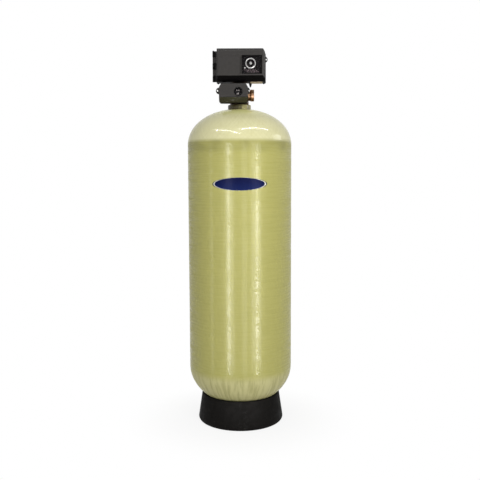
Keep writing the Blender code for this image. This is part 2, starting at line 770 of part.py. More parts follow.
def build_adapter():
    """Brass adapter that screws into the neck and carries the valve."""
    stem = OPENING_RADIUS - SEAT
    flange = ADAPTER_FLANGE_RADIUS
    profile = [(flange - ADAPTER_EDGE, ADAPTER_TOP), (flange, ADAPTER_TOP - ADAPTER_EDGE)]
    profile += [(flange, FLANGE_BOTTOM)]
    profile += [(stem, FLANGE_BOTTOM), (stem, ADAPTER_BOTTOM), (ADAPTER_BORE_RADIUS, ADAPTER_BOTTOM)]
    profile += [(ADAPTER_BORE_RADIUS, ADAPTER_TOP)]
    return turned("tank_adapter", profile, "Z", (0, 0, 0), "valve_brass", ROUND_STEPS, closed=True)


def build_seal_ring():
    """Rubber ring squeezed between the neck and the adapter's flange."""
    half = SEAL_RING_THICKNESS / 2
    radius = (OPENING_RADIUS + ADAPTER_FLANGE_RADIUS) / 2
    profile = arc((radius, NECK_TOP + SEAT + half), half, half, 360, 45, 7)
    return turned("neck_seal_ring", profile, "Z", (0, 0, 0), "seal_rubber", ROUND_STEPS, closed=True)


def flange_face(stage):
    """Return where the front of a stage's mounting flange is along Y."""
    return -stage.back + SEAT


def plug_rear(stage):
    """Return where a stage's end plug ends along Y."""
    return flange_face(stage) + PLUG_LENGTH


def piston_front(stage):
    """Return where the front of a stage's piston rests along Y, two throws behind its plug."""
    return plug_rear(stage) + END_PLAY + 2 * CRANK_THROW


def bore_end(stage):
    """Return where a stage's bore ends along Y."""
    return piston_front(stage) + PISTON_LENGTH + END_PLAY


def body_stage(body, stage):
    """Add one piston cylinder, with its mounting flange, to the valve body."""
    centre = (stage.rod_x, 0, stage.height)
    front = flange_face(stage)
    rear = bore_end(stage) + BODY_REAR_WALL
    join(body, cylinder(f"body_{stage.name}_cylinder", stage.radius, "Y", front, rear, centre))
    lip = stage.radius + MOUNT_FLANGE_LIP
    face = front + SEAT / 2
    join(body, cylinder(
        f"body_{stage.name}_flange", lip, "Y", face, face + MOUNT_FLANGE_THICKNESS, centre))


def body_rear_port(body, name, across):
    """Add one threaded port behind the valve body."""
    centre = (across, 0, UPPER_AXIS - REAR_PORT_DROP)
    join(body, cylinder(f"body_{name}_port", REAR_PORT_RADIUS, "Y", 0, REAR_PORT_REACH, centre))
    join(body, cylinder(
        f"body_{name}_collar", REAR_PORT_RADIUS + PORT_COLLAR_LIP, "Y",
        REAR_PORT_REACH - PORT_COLLAR_WIDTH, REAR_PORT_REACH - SEAT, centre))


def body_drain_port(body):
    """Add the drain port at the right, and the web that braces it."""
    centre = (0, 0, LOWER_AXIS - DRAIN_DROP)
    join(body, cylinder("body_drain_port", DRAIN_RADIUS, "X", 0, DRAIN_REACH, centre))
    join(body, cylinder(
        "body_drain_collar", DRAIN_RADIUS + PORT_COLLAR_LIP, "X", DRAIN_REACH - PORT_COLLAR_WIDTH,
        DRAIN_REACH - SEAT, centre))
    half = DRAIN_WEB_THICKNESS / 2
    low = (BODY_COLUMN_RADIUS / 2, -half, ADAPTER_TOP + BODY_BASE_HEIGHT / 2)
    join(body, block("body_drain_web", low, (DRAIN_WEB_REACH, half, centre[2])))


def body_cuts():
    """Return the solids that hollow out the valve body."""
    riser = RISER_RADIUS + SEAT
    cutters = [cylinder("riser_bore", riser, "Z", NECK_TOP, RISER_TOP + SEAT, (0, 0, 0))]
    cutters.append(cylinder("throat", BODY_THROAT_RADIUS, "Z", NECK_TOP, UPPER_AXIS, (0, 0, 0)))
    for stage in STAGES:
        centre = (stage.rod_x, 0, stage.height)
        cutters.append(cylinder(
            f"{stage.name}_bore", stage.bore, "Y", -COVER_FRONT, bore_end(stage), centre))
    upper_end = bore_end(UPPER_STAGE)
    port_height = UPPER_AXIS - REAR_PORT_DROP
    socket_end = REAR_PORT_REACH - REAR_SOCKET_DEPTH
    for name, across in rear_ports():
        centre = (across, 0, port_height)
        cutters.append(cylinder(
            f"{name}_socket", REAR_SOCKET_RADIUS, "Y", socket_end, REAR_PORT_REACH + CUT_PAST, centre))
        cutters.append(cylinder(
            f"{name}_passage", PASSAGE_RADIUS, "Y", upper_end / 2, socket_end + SEAT, centre))
    link = (0, upper_end / 2 + PASSAGE_RADIUS, port_height)
    cutters.append(cylinder(
        "cross_passage", PASSAGE_RADIUS - SEAT, "X", -REAR_PORT_OFFSET, REAR_PORT_OFFSET, link))
    drain = (0, 0, LOWER_AXIS - DRAIN_DROP)
    drain_end = DRAIN_REACH - DRAIN_SOCKET_DEPTH
    cutters.append(cylinder(
        "drain_socket", DRAIN_SOCKET_RADIUS, "X", drain_end, DRAIN_REACH + CUT_PAST, drain))
    cutters.append(cylinder(
        "drain_passage", PASSAGE_RADIUS, "X", LOWER_ROD_X, drain_end + SEAT, drain))
    return cutters


def rear_ports():
    """Return the rear ports: each name and its place across the body."""
    return (("inlet", REAR_PORT_OFFSET), ("outlet", -REAR_PORT_OFFSET))


def build_valve_body():
    """Brass casting with two piston cylinders, two rear ports and the drain port."""
    bottom = ADAPTER_TOP + SEAT
    shoulder = UPPER_AXIS - UPPER_BELOW - BODY_BOX_GAP
    body = cylinder(
        "valve_body", BODY_COLUMN_RADIUS, "Z", bottom, shoulder, (0, 0, 0), "valve_brass")
    join(body, cylinder(
        "body_neck", UPPER_BACK - BODY_BOX_GAP, "Z", bottom + BODY_BASE_HEIGHT, UPPER_AXIS, (0, 0, 0)))
    join(body, cylinder(
        "body_base", BODY_BASE_RADIUS, "Z", bottom - SEAT / 3, bottom + BODY_BASE_HEIGHT, (0, 0, 0)))
    for stage in STAGES:
        body_stage(body, stage)
    for name, across in rear_ports():
        body_rear_port(body, name, across)
    body_drain_port(body)
    for cutter in body_cuts():
        cut(body, cutter)
    return body


def piston_profile(radius):
    """Return a spool with a land at each end and a blind hole for the rod in its front."""
    hole = ROD_RADIUS + SEAT
    waist = radius - PISTON_WAIST
    length = PISTON_LENGTH
    profile = [(0, length), (radius, length), (radius, length - PISTON_LAND)]
    profile += [(waist, length - PISTON_LAND), (waist, PISTON_LAND), (radius, PISTON_LAND)]
    return profile + [(radius, 0), (hole, 0), (hole, ROD_GRIP + SEAT), (0, ROD_GRIP + SEAT)]


def build_stage_internals(stage, gear_front):
    """Build the piston, rod, cage and end plug of one stage, and return what slides."""
    centre = (stage.rod_x, 0, stage.height)
    radius = stage.bore - PISTON_WALL
    fitted = stage.bore - SEAT
    plug_end, piston_start, end = plug_rear(stage), piston_front(stage), bore_end(stage)
    plug = ring_profile(ROD_RADIUS + SEAT, fitted, flange_face(stage), plug_end)
    turned(f"{stage.name}_end_plug", plug, "Y", centre, "valve_brass", closed=True)
    sleeve = ring_profile(radius + SEAT, fitted, plug_end + SEAT, end - SEAT)
    cage = turned(f"{stage.name}_seal_cage", sleeve, "Y", centre, "gear_white", closed=True)
    low = (plug_end + end - CAGE_WINDOW) / 2
    wide, narrow = stage.bore + CUT_PAST, radius / 2
    for side, (across, up) in enumerate(((wide, narrow), (narrow, wide))):
        window_low = (stage.rod_x - across, low, stage.height - up)
        window_high = (stage.rod_x + across, low + CAGE_WINDOW, stage.height + up)
        cut(cage, block(f"{stage.name}_cage_window_{side + 1}", window_low, window_high))
    piston = turned(
        f"{stage.name}_piston", piston_profile(radius), "Y",
        (stage.rod_x, piston_start, stage.height), "steel", SMALL_STEPS)
    rod_front = -gear_front + CRANK_THROW + YOKE_HALF_WIDTH + SEAT
    rod = cylinder(
        f"{stage.name}_piston_rod", ROD_RADIUS, "Y", rod_front, piston_start + ROD_GRIP, centre,
        "steel", SMALL_STEPS)
    return piston, rod


def tooth_outline(teeth, phase):
    """Return a spur gear's outline with involute flanks, with a tooth at the phase angle."""
    pitch = teeth * GEAR_MODULE / 2
    base = pitch * math.cos(PRESSURE_ANGLE)
    root = pitch - TOOTH_DEDENDUM * GEAR_MODULE
    tip = pitch + TOOTH_ADDENDUM * GEAR_MODULE

    def involute(radius):
        angle = math.acos(min(1.0, base / radius))
        return math.tan(angle) - angle

    half_tooth = math.pi / (2 * teeth) - TOOTH_BACKLASH / (2 * pitch)
    flank = [(root, half_tooth + involute(pitch) - involute(max(root, base)))]
    for radius in (pitch, tip):
        flank.append((radius, half_tooth + involute(pitch) - involute(radius)))
    outline = []
    for tooth in range(teeth):
        middle = phase + 2 * math.pi * tooth / teeth
        outline += [(radius, middle - half) for radius, half in flank]
        outline += [(radius, middle + half) for radius, half in reversed(flank)]
    return [(radius * math.cos(angle), radius * math.sin(angle)) for radius, angle in outline]


def slot_outline(half_width, half_height):
    """Return a rounded slot's points, taller than it is wide."""
    straight = half_height - half_width
    top = arc((0, straight), half_width, half_width, 0, 180, 6)
    return top + arc((0, -straight), half_width, half_width, 180, 360, 6)


def yoke_outlines():
    """Return the yoke's outer edge and the slot that the crank pin runs in."""
    across, up, cut_off = YOKE_HALF_WIDTH, YOKE_HALF_HEIGHT, YOKE_RIM
    edge = [(across, up - cut_off), (across - cut_off, up), (cut_off - across, up)]
    edge += [(-across, up - cut_off), (-across, cut_off - up), (cut_off - across, -up)]
    edge += [(across - cut_off, -up), (across, cut_off - up)]
    return [edge, slot_outline(SLOT_HALF_WIDTH, SLOT_HALF_HEIGHT)]


def pinion_centre(gear_y, height):
    """Return the pinion's place across Y and Z."""
    reach = GEAR_PITCH_RADIUS + PINION_PITCH_RADIUS
    return gear_y + reach * math.cos(PINION_BEARING), height + reach * math.sin(PINION_BEARING)


def build_bracket(stage, left, gear_y):
    """Bent plate that carries the gear's axle, the motor and the cam switch."""
    name, height = stage.name, stage.height
    motor_y, motor_z = pinion_centre(gear_y, height)
    wall = -stage.back - BOX_WALL - SEAT
    low = (left, gear_y - BRACKET_MARGIN, motor_z - BRACKET_MARGIN)
    high = (left + BRACKET_THICKNESS, wall, height + BRACKET_MARGIN)
    bracket = block(f"{name}_drive_bracket", low, high, "motor_zinc")
    foot_low = (left - BRACKET_FOOT, wall - BRACKET_THICKNESS, low[2])
    foot_high = (left + BRACKET_THICKNESS / 2, wall - SEAT / 3, high[2] - SEAT)
    join(bracket, block(f"{name}_bracket_foot", foot_low, foot_high))
    past = left + 2 * BRACKET_THICKNESS
    before = left - BRACKET_THICKNESS
    cut(bracket, cylinder(
        f"{name}_axle_hole", AXLE_RADIUS + SEAT, "X", before, past, (0, gear_y, height),
        steps=SMALL_STEPS))
    cut(bracket, cylinder(
        f"{name}_shaft_hole", PINION_SHAFT_RADIUS + FREE_PLAY, "X", before, past,
        (0, motor_y, motor_z), steps=SMALL_STEPS))
    return bracket


def build_motor(name, bracket_left, motor_y, motor_z):
    """Round gear motor on the left of the bracket, with a blind hole for the pinion's shaft."""
    right = bracket_left - SEAT
    left = right - MOTOR_LENGTH
    shoulder = MOTOR_RADIUS - MOTOR_SHOULDER
    hole = PINION_SHAFT_RADIUS + SEAT
    depth = PINION_SHAFT_GRIP + FREE_PLAY
    profile = [(0, MOTOR_LENGTH - depth), (hole, MOTOR_LENGTH - depth), (hole, MOTOR_LENGTH)]
    profile += [(MOTOR_RADIUS, MOTOR_LENGTH), (MOTOR_RADIUS, MOTOR_CAP_LENGTH)]
    profile += [(shoulder, MOTOR_CAP_LENGTH), (shoulder, 0), (0, 0)]
    return turned(f"{name}_drive_motor", profile, "X", (left, motor_y, motor_z), "motor_zinc")


def build_pinion(name, gear_left, bracket_left, motor_y, motor_z):
    """Pinion on the motor's shaft, with a tooth space where the gear has a tooth."""
    phase = PINION_BEARING + math.pi + math.pi / PINION_TEETH
    middle = (gear_left + GEAR_THICKNESS / 2, motor_y, motor_z)
    pinion = plate(
        f"{name}_pinion", [tooth_outline(PINION_TEETH, phase)], "X", middle, GEAR_THICKNESS, "steel")
    shaft = cylinder(
        f"{name}_pinion_shaft", PINION_SHAFT_RADIUS, "X", bracket_left - SEAT - PINION_SHAFT_GRIP,
        gear_left + GEAR_THICKNESS / 2, (0, motor_y, motor_z), steps=SMALL_STEPS)
    join(pinion, shaft)
    return pinion


def build_gear(name, gear_left, gear_y, height, pin_end):
    """Main drive gear. Its crank pin is on it unless a drum carries the pin."""
    bore = AXLE_RADIUS + SEAT
    outlines = [
        tooth_outline(GEAR_TEETH, PINION_BEARING), oval_outline(bore, bore, SMALL_STEPS)]
    middle = (gear_left + GEAR_THICKNESS / 2, gear_y, height)
    gear = plate(f"{name}_drive_gear", outlines, "X", middle, GEAR_THICKNESS, "gear_white")
    if pin_end is not None:
        join(gear, crank_pin(name, middle[0], pin_end, gear_y, height))
    return gear


def crank_pin(name, start, end, gear_y, height):
    """Return the crank pin's solid, at the rear of its circle."""
    centre = (0, gear_y + CRANK_THROW, height)
    return cylinder(
        f"{name}_crank_pin", CRANK_PIN_RADIUS, "X", start, end, centre, steps=SMALL_STEPS)


def build_drum(left, gear_y, height, pin_end):
    """Position drum behind the lower cover's window, with the lower crank pin on its end."""
    ring = ring_profile(AXLE_RADIUS + SEAT, DRUM_RADIUS, 0, DRUM_WIDTH)
    drum = turned(
        "position_drum", ring, "X", (left, gear_y, height), "dial_dark", ROUND_STEPS, closed=True)
    join(drum, crank_pin("lower_drum", left + DRUM_WIDTH / 2, pin_end, gear_y, height))
    return drum


def build_drive(stage, gear_front, drum_width):
    """Build one drive train and return its gear group, its pinion and its yoke."""
    name, rod_x, height = stage.name, stage.rod_x, stage.height
    gear_y = -gear_front
    crank_face = rod_x - YOKE_THICKNESS / 2 - SIDE_RUN
    pin_end = rod_x + YOKE_THICKNESS / 2 + SIDE_RUN
    drum_left = crank_face - drum_width
    gear_left = drum_left - (SEAT if drum_width else 0.0) - GEAR_THICKNESS
    bracket_left = gear_left - SIDE_RUN / 2 - BRACKET_THICKNESS
    motor_y, motor_z = pinion_centre(gear_y, height)
    build_bracket(stage, bracket_left, gear_y)
    build_motor(name, bracket_left, motor_y, motor_z)
    cylinder(
        f"{name}_gear_axle", AXLE_RADIUS, "X", bracket_left - AXLE_OVERHANG, crank_face,
        (0, gear_y, height), "steel", SMALL_STEPS)
    switch_x, switch_y, switch_z = SWITCH_SIZE
    low = (
        bracket_left + BRACKET_THICKNESS + SEAT, gear_y + GEAR_TIP_RADIUS + SIDE_RUN,
        height - switch_z / 4)
    high = (low[0] + switch_x, low[1] + switch_y, low[2] + switch_z)
    build_switch_pad(name, bracket_left, low, high)
    block(f"{name}_cam_switch", low, high, "dial_dark", edge=SWITCH_EDGE)
    pinion = build_pinion(name, gear_left, bracket_left, motor_y, motor_z)
    yoke = plate(
        f"{name}_yoke", yoke_outlines(), "X", (rod_x, gear_y + CRANK_THROW, height),
        YOKE_THICKNESS, "gear_white")
    gear = build_gear(name, gear_left, gear_y, height, None if drum_width else pin_end)
    turning = [gear]
    if drum_width:
        turning.append(build_drum(drum_left, gear_y, height, pin_end))
    return turning, pinion, yoke


def build_switch_pad(name, bracket_left, low, high):
    """Widen the bracket behind the cam switch, so that the switch has something to sit on."""
    bracket = PIECES.objects[f"{name}_drive_bracket"]
    pad_low = (bracket_left + SEAT / 3, low[1], low[2] - SEAT)
    pad_high = (bracket_left + BRACKET_THICKNESS - SEAT / 3, high[1], high[2] + SEAT)
    join(bracket, block(f"{name}_switch_pad", pad_low, pad_high))


def plane(point, normal, inset=0.0):
    """Return a plane moved inwards by an inset."""
    outward = Vector(normal).normalized()
    return Vector(point) - outward * inset, outward


def box_planes(left, right, bottom, top, front, back, inset, open_front=False, open_back=False):
    """Return the six faces of a box, with its front or its back left long where it is open."""
    far = COVER_FRONT
    front_y = front - (far if open_front else -inset)
    back_y = back + (far if open_back else -inset)
    return [
        plane((left, 0, 0), (-1, 0, 0), inset),
        plane((right, 0, 0), (1, 0, 0), inset),
        plane((0, 0, bottom), (0, 0, -1), inset),
        plane((0, 0, top), (0, 0, 1), inset),
        plane((0, front_y, 0), (0, -1, 0)),
        plane((0, back_y, 0), (0, 1, 0)),
    ]


def upper_corner(right, inset):
    """Return the diagonal cut of the upper box's top right corner."""
    top = UPPER_AXIS + UPPER_ABOVE
    point = (right, 0, top - UPPER_CORNER_HEIGHT)
    return plane(point, (UPPER_CORNER_HEIGHT, 0, UPPER_CORNER_WIDTH), inset)


def upper_cover_planes(inset, open_back):
    """Return the planes of the upper cover, outside or inside."""
    bottom, top = UPPER_AXIS - UPPER_BELOW, UPPER_AXIS + UPPER_ABOVE
    front = -COVER_FRONT
    planes = box_planes(
        UPPER_LEFT, UPPER_RIGHT, bottom, top, front, -UPPER_PARTING, inset, open_back=open_back)
    planes.append(plane((0, front, top - UPPER_TOP_CHAMFER), (0, -1, 1), inset))
    planes.append(plane((UPPER_RIGHT - UPPER_SIDE_CHAMFER, front, 0), (1, -1, 0), inset))
    planes.append(plane((UPPER_LEFT + UPPER_LEFT_CHAMFER, front, 0), (-1, -1, 0), inset))
    slope = (0, -UPPER_SLOPE_HEIGHT, -UPPER_SLOPE_DEPTH)
    planes.append(plane((0, front, bottom + UPPER_SLOPE_HEIGHT), slope, inset))
    planes.append(upper_corner(UPPER_RIGHT, inset))
    return planes


def upper_pan_planes(inset, open_front):
    """Return the planes of the upper back box, outside or inside."""
    bottom, top = UPPER_AXIS - UPPER_BELOW, UPPER_AXIS + UPPER_ABOVE
    right = UPPER_RIGHT + UPPER_RIM
    planes = box_planes(
        UPPER_LEFT - UPPER_RIM / 2, right, bottom, top, -UPPER_PARTING + SEAT, -UPPER_BACK, inset,
        open_front=open_front)
    planes.append(upper_corner(right, inset))
    return planes


def lower_corner_planes(inset):
    """Return the lower box's slanted shoulders at the top and its cut corners at the bottom."""
    top, bottom = LOWER_AXIS + LOWER_ABOVE, LOWER_AXIS - LOWER_BELOW
    across, up = LOWER_SHOULDER_WIDTH, LOWER_SHOULDER_HEIGHT
    planes = []
    for side, wall in ((-1, LOWER_LEFT), (1, LOWER_RIGHT)):
        planes.append(plane((wall, 0, top - up), (side * up, 0, across), inset))
        planes.append(plane((wall, 0, bottom + LOWER_CORNER), (side, 0, -1), inset))
    return planes


def lower_cover_planes(inset, open_back):
    """Return the planes of the lower cover, outside or inside."""
    bottom, top = LOWER_AXIS - LOWER_BELOW, LOWER_AXIS + LOWER_ABOVE
    front = -COVER_FRONT
    planes = box_planes(
        LOWER_LEFT, LOWER_RIGHT, bottom, top, front, -LOWER_PARTING, inset, open_back=open_back)
    planes.append(plane((0, front, top - LOWER_TOP_CHAMFER), (0, -1, 1), inset))
    slope = (0, -LOWER_SLOPE_HEIGHT, -LOWER_SLOPE_DEPTH)
    planes.append(plane((0, front, bottom + LOWER_SLOPE_HEIGHT), slope, inset))
    return planes + lower_corner_planes(inset)


def lower_pan_planes(inset, open_front):
    """Return the planes of the lower back box, outside or inside."""
    bottom, top = LOWER_AXIS - LOWER_BELOW, LOWER_AXIS + LOWER_ABOVE
    planes = box_planes(
        LOWER_LEFT, LOWER_RIGHT, bottom, top, -LOWER_PARTING + SEAT, -LOWER_BACK, inset,
        open_front=open_front)
    return planes + lower_corner_planes(inset)


def hollow(name, outer, inner, finish):
    """Return a housing: a faceted solid with a smaller one cut out of it."""
    shell = faceted(name, outer, finish, edge=BOX_EDGE)
    cut(shell, faceted(f"{name}_hollow", inner))
    return shell


def ear_outline(wall, reach, height, side):
    """Return an ear's outline, which starts inside the wall and ends in a round tip."""
    root = wall - side * BOX_WALL / 2
    outline = arc((wall, 0), side * reach, height / 2, -90, 90, 8)
    return [(root, -height / 2), *outline, (root, height / 2)]


def add_ear(piece, name, wall, reach, ear_z, height, front, side):
    """Join an ear, a little thinner than its place, to a piece and drill it for its screw."""
    middle = (0, front + EAR_THICKNESS / 2, ear_z)
    outline = ear_outline(wall, reach, height, side)
    join(piece, plate(name, [outline], "Y", middle, EAR_THICKNESS - SEAT))
    centre = (wall + side * reach / 2, 0, ear_z)
    cut(piece, cylinder(
        f"{name}_hole", SCREW_RADIUS + SEAT, "Y", front - EAR_THICKNESS, front + 2 * EAR_THICKNESS,
        centre, steps=SMALL_STEPS))


def add_ear_pair(cover, pan, name, wall, reach, ear_z, height, parting, side):
    """Join matching ears to a cover and its back box."""
    front = -parting - EAR_THICKNESS
    add_ear(cover, f"{name}_cover_ear", wall, reach, ear_z, height, front, side)
    add_ear(pan, f"{name}_pan_ear", wall, reach, ear_z, height, -parting + SEAT, side)


def build_screw(name, across, height, parting):
    """Slotted screw with a round head, through a pair of ears."""
    seat = -parting - EAR_THICKNESS - SEAT
    length = 2 * EAR_THICKNESS
    profile = [(0, length), (SCREW_RADIUS, length), (SCREW_RADIUS, 0), (SCREW_HEAD_RADIUS, 0)]
    profile += [(SCREW_HEAD_RADIUS, SCREW_HEAD_EDGE - SCREW_HEAD_HEIGHT)]
    profile += [(SCREW_HEAD_RADIUS - SCREW_HEAD_EDGE, -SCREW_HEAD_HEIGHT), (0, -SCREW_HEAD_HEIGHT)]
    screw = turned(name, profile, "Y", (across, seat, height), "steel", SMALL_STEPS)
    face = seat - SCREW_HEAD_HEIGHT
    reach = SCREW_HEAD_RADIUS + SCREW_SLOT
    low = (across - reach, face - SCREW_SLOT, height - SCREW_SLOT / 2)
    high = (across + reach, face + SCREW_SLOT, height + SCREW_SLOT / 2)
    cut(screw, block(f"{name}_slot", low, high))
    return screw


def knuckle_spans():
    """Return each hinge knuckle's lowest and highest point, from the bottom up."""
    low = UPPER_AXIS - UPPER_BELOW + HINGE_END_MARGIN
    high = UPPER_AXIS + UPPER_ABOVE - HINGE_KNUCKLE_GAP
    pitch = (high - low) / HINGE_KNUCKLES
    return [
        (low + pitch * number, low + pitch * (number + 1) - HINGE_KNUCKLE_GAP)
        for number in range(HINGE_KNUCKLES)
    ]


def hinge_axis():
    """Return the place of the hinge's axis across X and Y."""
    return UPPER_LEFT - HINGE_OFFSET, -UPPER_PARTING


def add_knuckles(piece, name, parity, radius, leaf_front, wall):
    """Join every other knuckle, with the leaf that carries it, and drill them for the pin."""
    axis_x, axis_y = hinge_axis()
    for number, (low, high) in enumerate(knuckle_spans()):
        if number % 2 != parity:
            continue
        barrel = f"{name}_knuckle_{number + 1}"
        join(piece, cylinder(barrel, radius, "Z", low, high, (axis_x, axis_y, 0), steps=SMALL_STEPS))
        leaf_low = (axis_x, leaf_front, low + SEAT / 3)
        leaf_high = (wall + BOX_WALL / 2, leaf_front + HINGE_LEAF, high - SEAT / 3)
        join(piece, block(f"{name}_leaf_{number + 1}", leaf_low, leaf_high))
    spans = knuckle_spans()
    cut(piece, cylinder(
        f"{name}_pin_hole", HINGE_PIN_RADIUS + SEAT, "Z", spans[0][0] - FREE_PLAY,
        spans[-1][1] + FREE_PLAY, (axis_x, axis_y, 0), steps=SMALL_STEPS))


def build_hinge_pin():
    """Pin through the knuckles, with a head that rests on the top one."""
    axis_x, axis_y = hinge_axis()
    spans = knuckle_spans()
    low, seat = spans[0][0], spans[-1][1] + SEAT
    head_top = seat + HINGE_PIN_HEAD_HEIGHT
    profile = [(0, head_top), (HINGE_PIN_HEAD_RADIUS, head_top), (HINGE_PIN_HEAD_RADIUS, seat)]
    profile += [(HINGE_PIN_RADIUS, seat), (HINGE_PIN_RADIUS, low), (0, low)]
    return turned("hinge_pin", profile, "Z", (axis_x, axis_y, 0), "steel", SMALL_STEPS)


def build_upper_pan():
    """Back box of the upper drive, fixed to the valve body."""
    pan = hollow(
        "upper_back_box", upper_pan_planes(0.0, False), upper_pan_planes(BOX_WALL, True),
        "housing_black")
    cut(pan, cylinder(
        "upper_rod_hole", BOX_ROD_HOLE, "Y", -UPPER_PARTING, 0, (UPPER_ROD_X, 0, UPPER_AXIS),
        steps=SMALL_STEPS))
    bottom = UPPER_AXIS - UPPER_BELOW
    for side, wall in ((1, UPPER_LEFT - UPPER_RIM / 2), (-1, UPPER_RIGHT + UPPER_RIM)):
        near, far = sorted((wall + side * 2 * BOX_EDGE, wall + side * FOOT_LUG_WIDTH))
        low = (near, -UPPER_PARTING + 2 * BOX_EDGE, bottom - FOOT_LUG_DROP)
        high = (far, -UPPER_BACK - BOX_EDGE, bottom + BOX_WALL / 2)
        join(pan, block(f"pan_lug_{side + 2}", low, high))
    add_knuckles(
        pan, "pan", 0, HINGE_BARREL_RADIUS, -UPPER_PARTING + SEAT, UPPER_LEFT - UPPER_RIM / 2)
    return pan


def window_corners(margin, front, back):
    """Return the corners of a box round the window."""
    low = (WINDOW_LEFT - margin, front, UPPER_AXIS + WINDOW_BOTTOM - margin)
    return low, (WINDOW_RIGHT + margin, back, UPPER_AXIS + WINDOW_TOP + margin)


def build_upper_cover():
    """Hinged cover with a raised left panel and a window in a well at the right."""
    cover = hollow(
        "upper_cover", upper_cover_planes(0.0, False), upper_cover_planes(BOX_WALL, True),
        "cover_charcoal")
    well_back = -COVER_FRONT + BOX_WALL + WELL_DEPTH
    well_front = -COVER_FRONT + BOX_WALL / 2
    join(cover, block("window_well", *window_corners(WELL_WALL, well_front, well_back)))
    hole = window_corners(0.0, -COVER_FRONT - CUT_PAST, well_back + CUT_PAST)
    cut(cover, block("window_hole", *hole))
    low = (
        UPPER_LEFT + UPPER_LEFT_CHAMFER + PANEL_MARGIN / 2, -COVER_FRONT - PANEL_PROUD,
        UPPER_AXIS - UPPER_BELOW + UPPER_SLOPE_HEIGHT + PANEL_MARGIN / 2)
    high = (
        PANEL_RIGHT, -COVER_FRONT + BOX_WALL / 2,
        UPPER_AXIS + UPPER_ABOVE - UPPER_TOP_CHAMFER - PANEL_MARGIN / 2)
    join(cover, block("raised_panel", low, high))
    add_knuckles(
        cover, "cover", 1, HINGE_COVER_BARREL_RADIUS, -UPPER_PARTING - HINGE_LEAF, UPPER_LEFT)
    return cover


def build_pane():
    """Clear pane glued behind the window's well."""
    front = -COVER_FRONT + BOX_WALL + WELL_DEPTH + SEAT
    return block(
        "window_pane", *window_corners(WELL_WALL, front, front + PANE_THICKNESS), "clear_pane")


def face_front():
    """Return the front of the timer's face plate."""
    pane_back = -COVER_FRONT + BOX_WALL + WELL_DEPTH + SEAT + PANE_THICKNESS
    return pane_back + FACE_DEPTH


def dial_centre(depth):
    """Return the dial's centre at a depth behind the front of the face plate."""
    return DIAL_X, face_front() + depth, UPPER_AXIS + DIAL_RISE


def face_posts(front):
    """Return the four posts that are moulded to the face plate and stand on the back box."""
    wall = -UPPER_BACK - BOX_WALL - SEAT
    low, high = window_corners(FACE_MARGIN - POST_INSET, 0, 0)
    places = ((low[0], low[2]), (high[0], low[2]), (low[0], high[2]), (high[0], high[2]))
    return [
        cylinder(
            f"face_post_{number + 1}", POST_RADIUS, "Y", front, wall, (across, 0, height),
            steps=SMALL_STEPS)
        for number, (across, height) in enumerate(places)
    ]


def build_face_plate():
    """Dark face plate of the timer on its posts, drilled for the knob's shaft and the set button."""
    front = face_front()
    plate_low, plate_high = window_corners(FACE_MARGIN, front, front + FACE_THICKNESS)
    face = block("timer_face_plate", plate_low, plate_high, "dial_dark")
    for post in face_posts(front + FACE_THICKNESS / 2):
        join(face, post)
    past = front + 2 * FACE_THICKNESS
    before = front - FACE_THICKNESS
    cut(face, cylinder(
        "knob_shaft_hole", KNOB_SHAFT_RADIUS + SEAT, "Y", before, past, dial_centre(0.0),
        steps=SMALL_STEPS))
    cut(face, cylinder(
        "button_hole", BUTTON_RADIUS + SEAT, "Y", before, past,
        (BUTTON_X, 0, UPPER_AXIS - BUTTON_DROP), steps=SMALL_STEPS))
    return face


def build_timer_case():
    """Timer works in a closed case behind the face plate, with a hole for the knob's shaft."""
    front = face_front() + FACE_THICKNESS + SEAT
    low = (CASE_LEFT, front, UPPER_AXIS + CASE_BOTTOM)
    high = (CASE_RIGHT, front + CASE_DEPTH, UPPER_AXIS + CASE_TOP)
    case = block("timer_case", low, high, "motor_zinc", edge=CASE_EDGE)
    cut(case, cylinder(
        "case_shaft_hole", KNOB_SHAFT_RADIUS + SEAT, "Y", front - FACE_THICKNESS,
        front + KNOB_SHAFT_GRIP + FREE_PLAY, dial_centre(0.0), steps=SMALL_STEPS))
    return case


def build_dial():
    """Dial disc with its silver rim, and the knob in its middle."""
    hole = KNOB_RADIUS + SEAT
    inner = DIAL_RADIUS - DIAL_RING_WIDTH
    disc = turned(
        "dial_disc", ring_profile(hole, inner - SEAT, 0, DIAL_THICKNESS), "Y",
        dial_centre(-SEAT - DIAL_THICKNESS), "dial_dark", ROUND_STEPS, closed=True)
    depth = DIAL_THICKNESS + DIAL_RING_PROUD
    edge = DIAL_RING_PROUD
    rim = [(DIAL_RADIUS, depth), (DIAL_RADIUS, edge), (DIAL_RADIUS - edge, 0), (inner + edge, 0)]
    rim += [(inner, edge), (inner, depth)]
    ring = turned(
        "dial_ring", rim, "Y", dial_centre(-SEAT - depth), "dial_silver", ROUND_STEPS, closed=True)
    return disc, ring


def build_knob():
    """Turned knob with a shaft that reaches into the timer case."""
    height, radius, step = KNOB_HEIGHT, KNOB_RADIUS, KNOB_STEP
    shaft_end = height + SEAT + FACE_THICKNESS + KNOB_SHAFT_GRIP
    profile = [(0, shaft_end), (KNOB_SHAFT_RADIUS, shaft_end), (KNOB_SHAFT_RADIUS, height)]
    profile += [(radius, height), (radius, height - KNOB_SKIRT)]
    profile += [(radius - step, height - KNOB_SKIRT - step), (radius - step, step)]
    profile += [(radius - 2 * step, 0), (0, 0)]
    return turned("manual_knob", profile, "Y", dial_centre(-SEAT - height), "dial_silver")


def build_button():
    """Set button, which is pushed in through the face plate."""
    front = face_front()
    return cylinder(
        "set_button", BUTTON_RADIUS, "Y", front - BUTTON_PROUD,
        front + FACE_THICKNESS + BUTTON_TRAVEL, (BUTTON_X, 0, UPPER_AXIS - BUTTON_DROP),
        "button_bright", SMALL_STEPS)


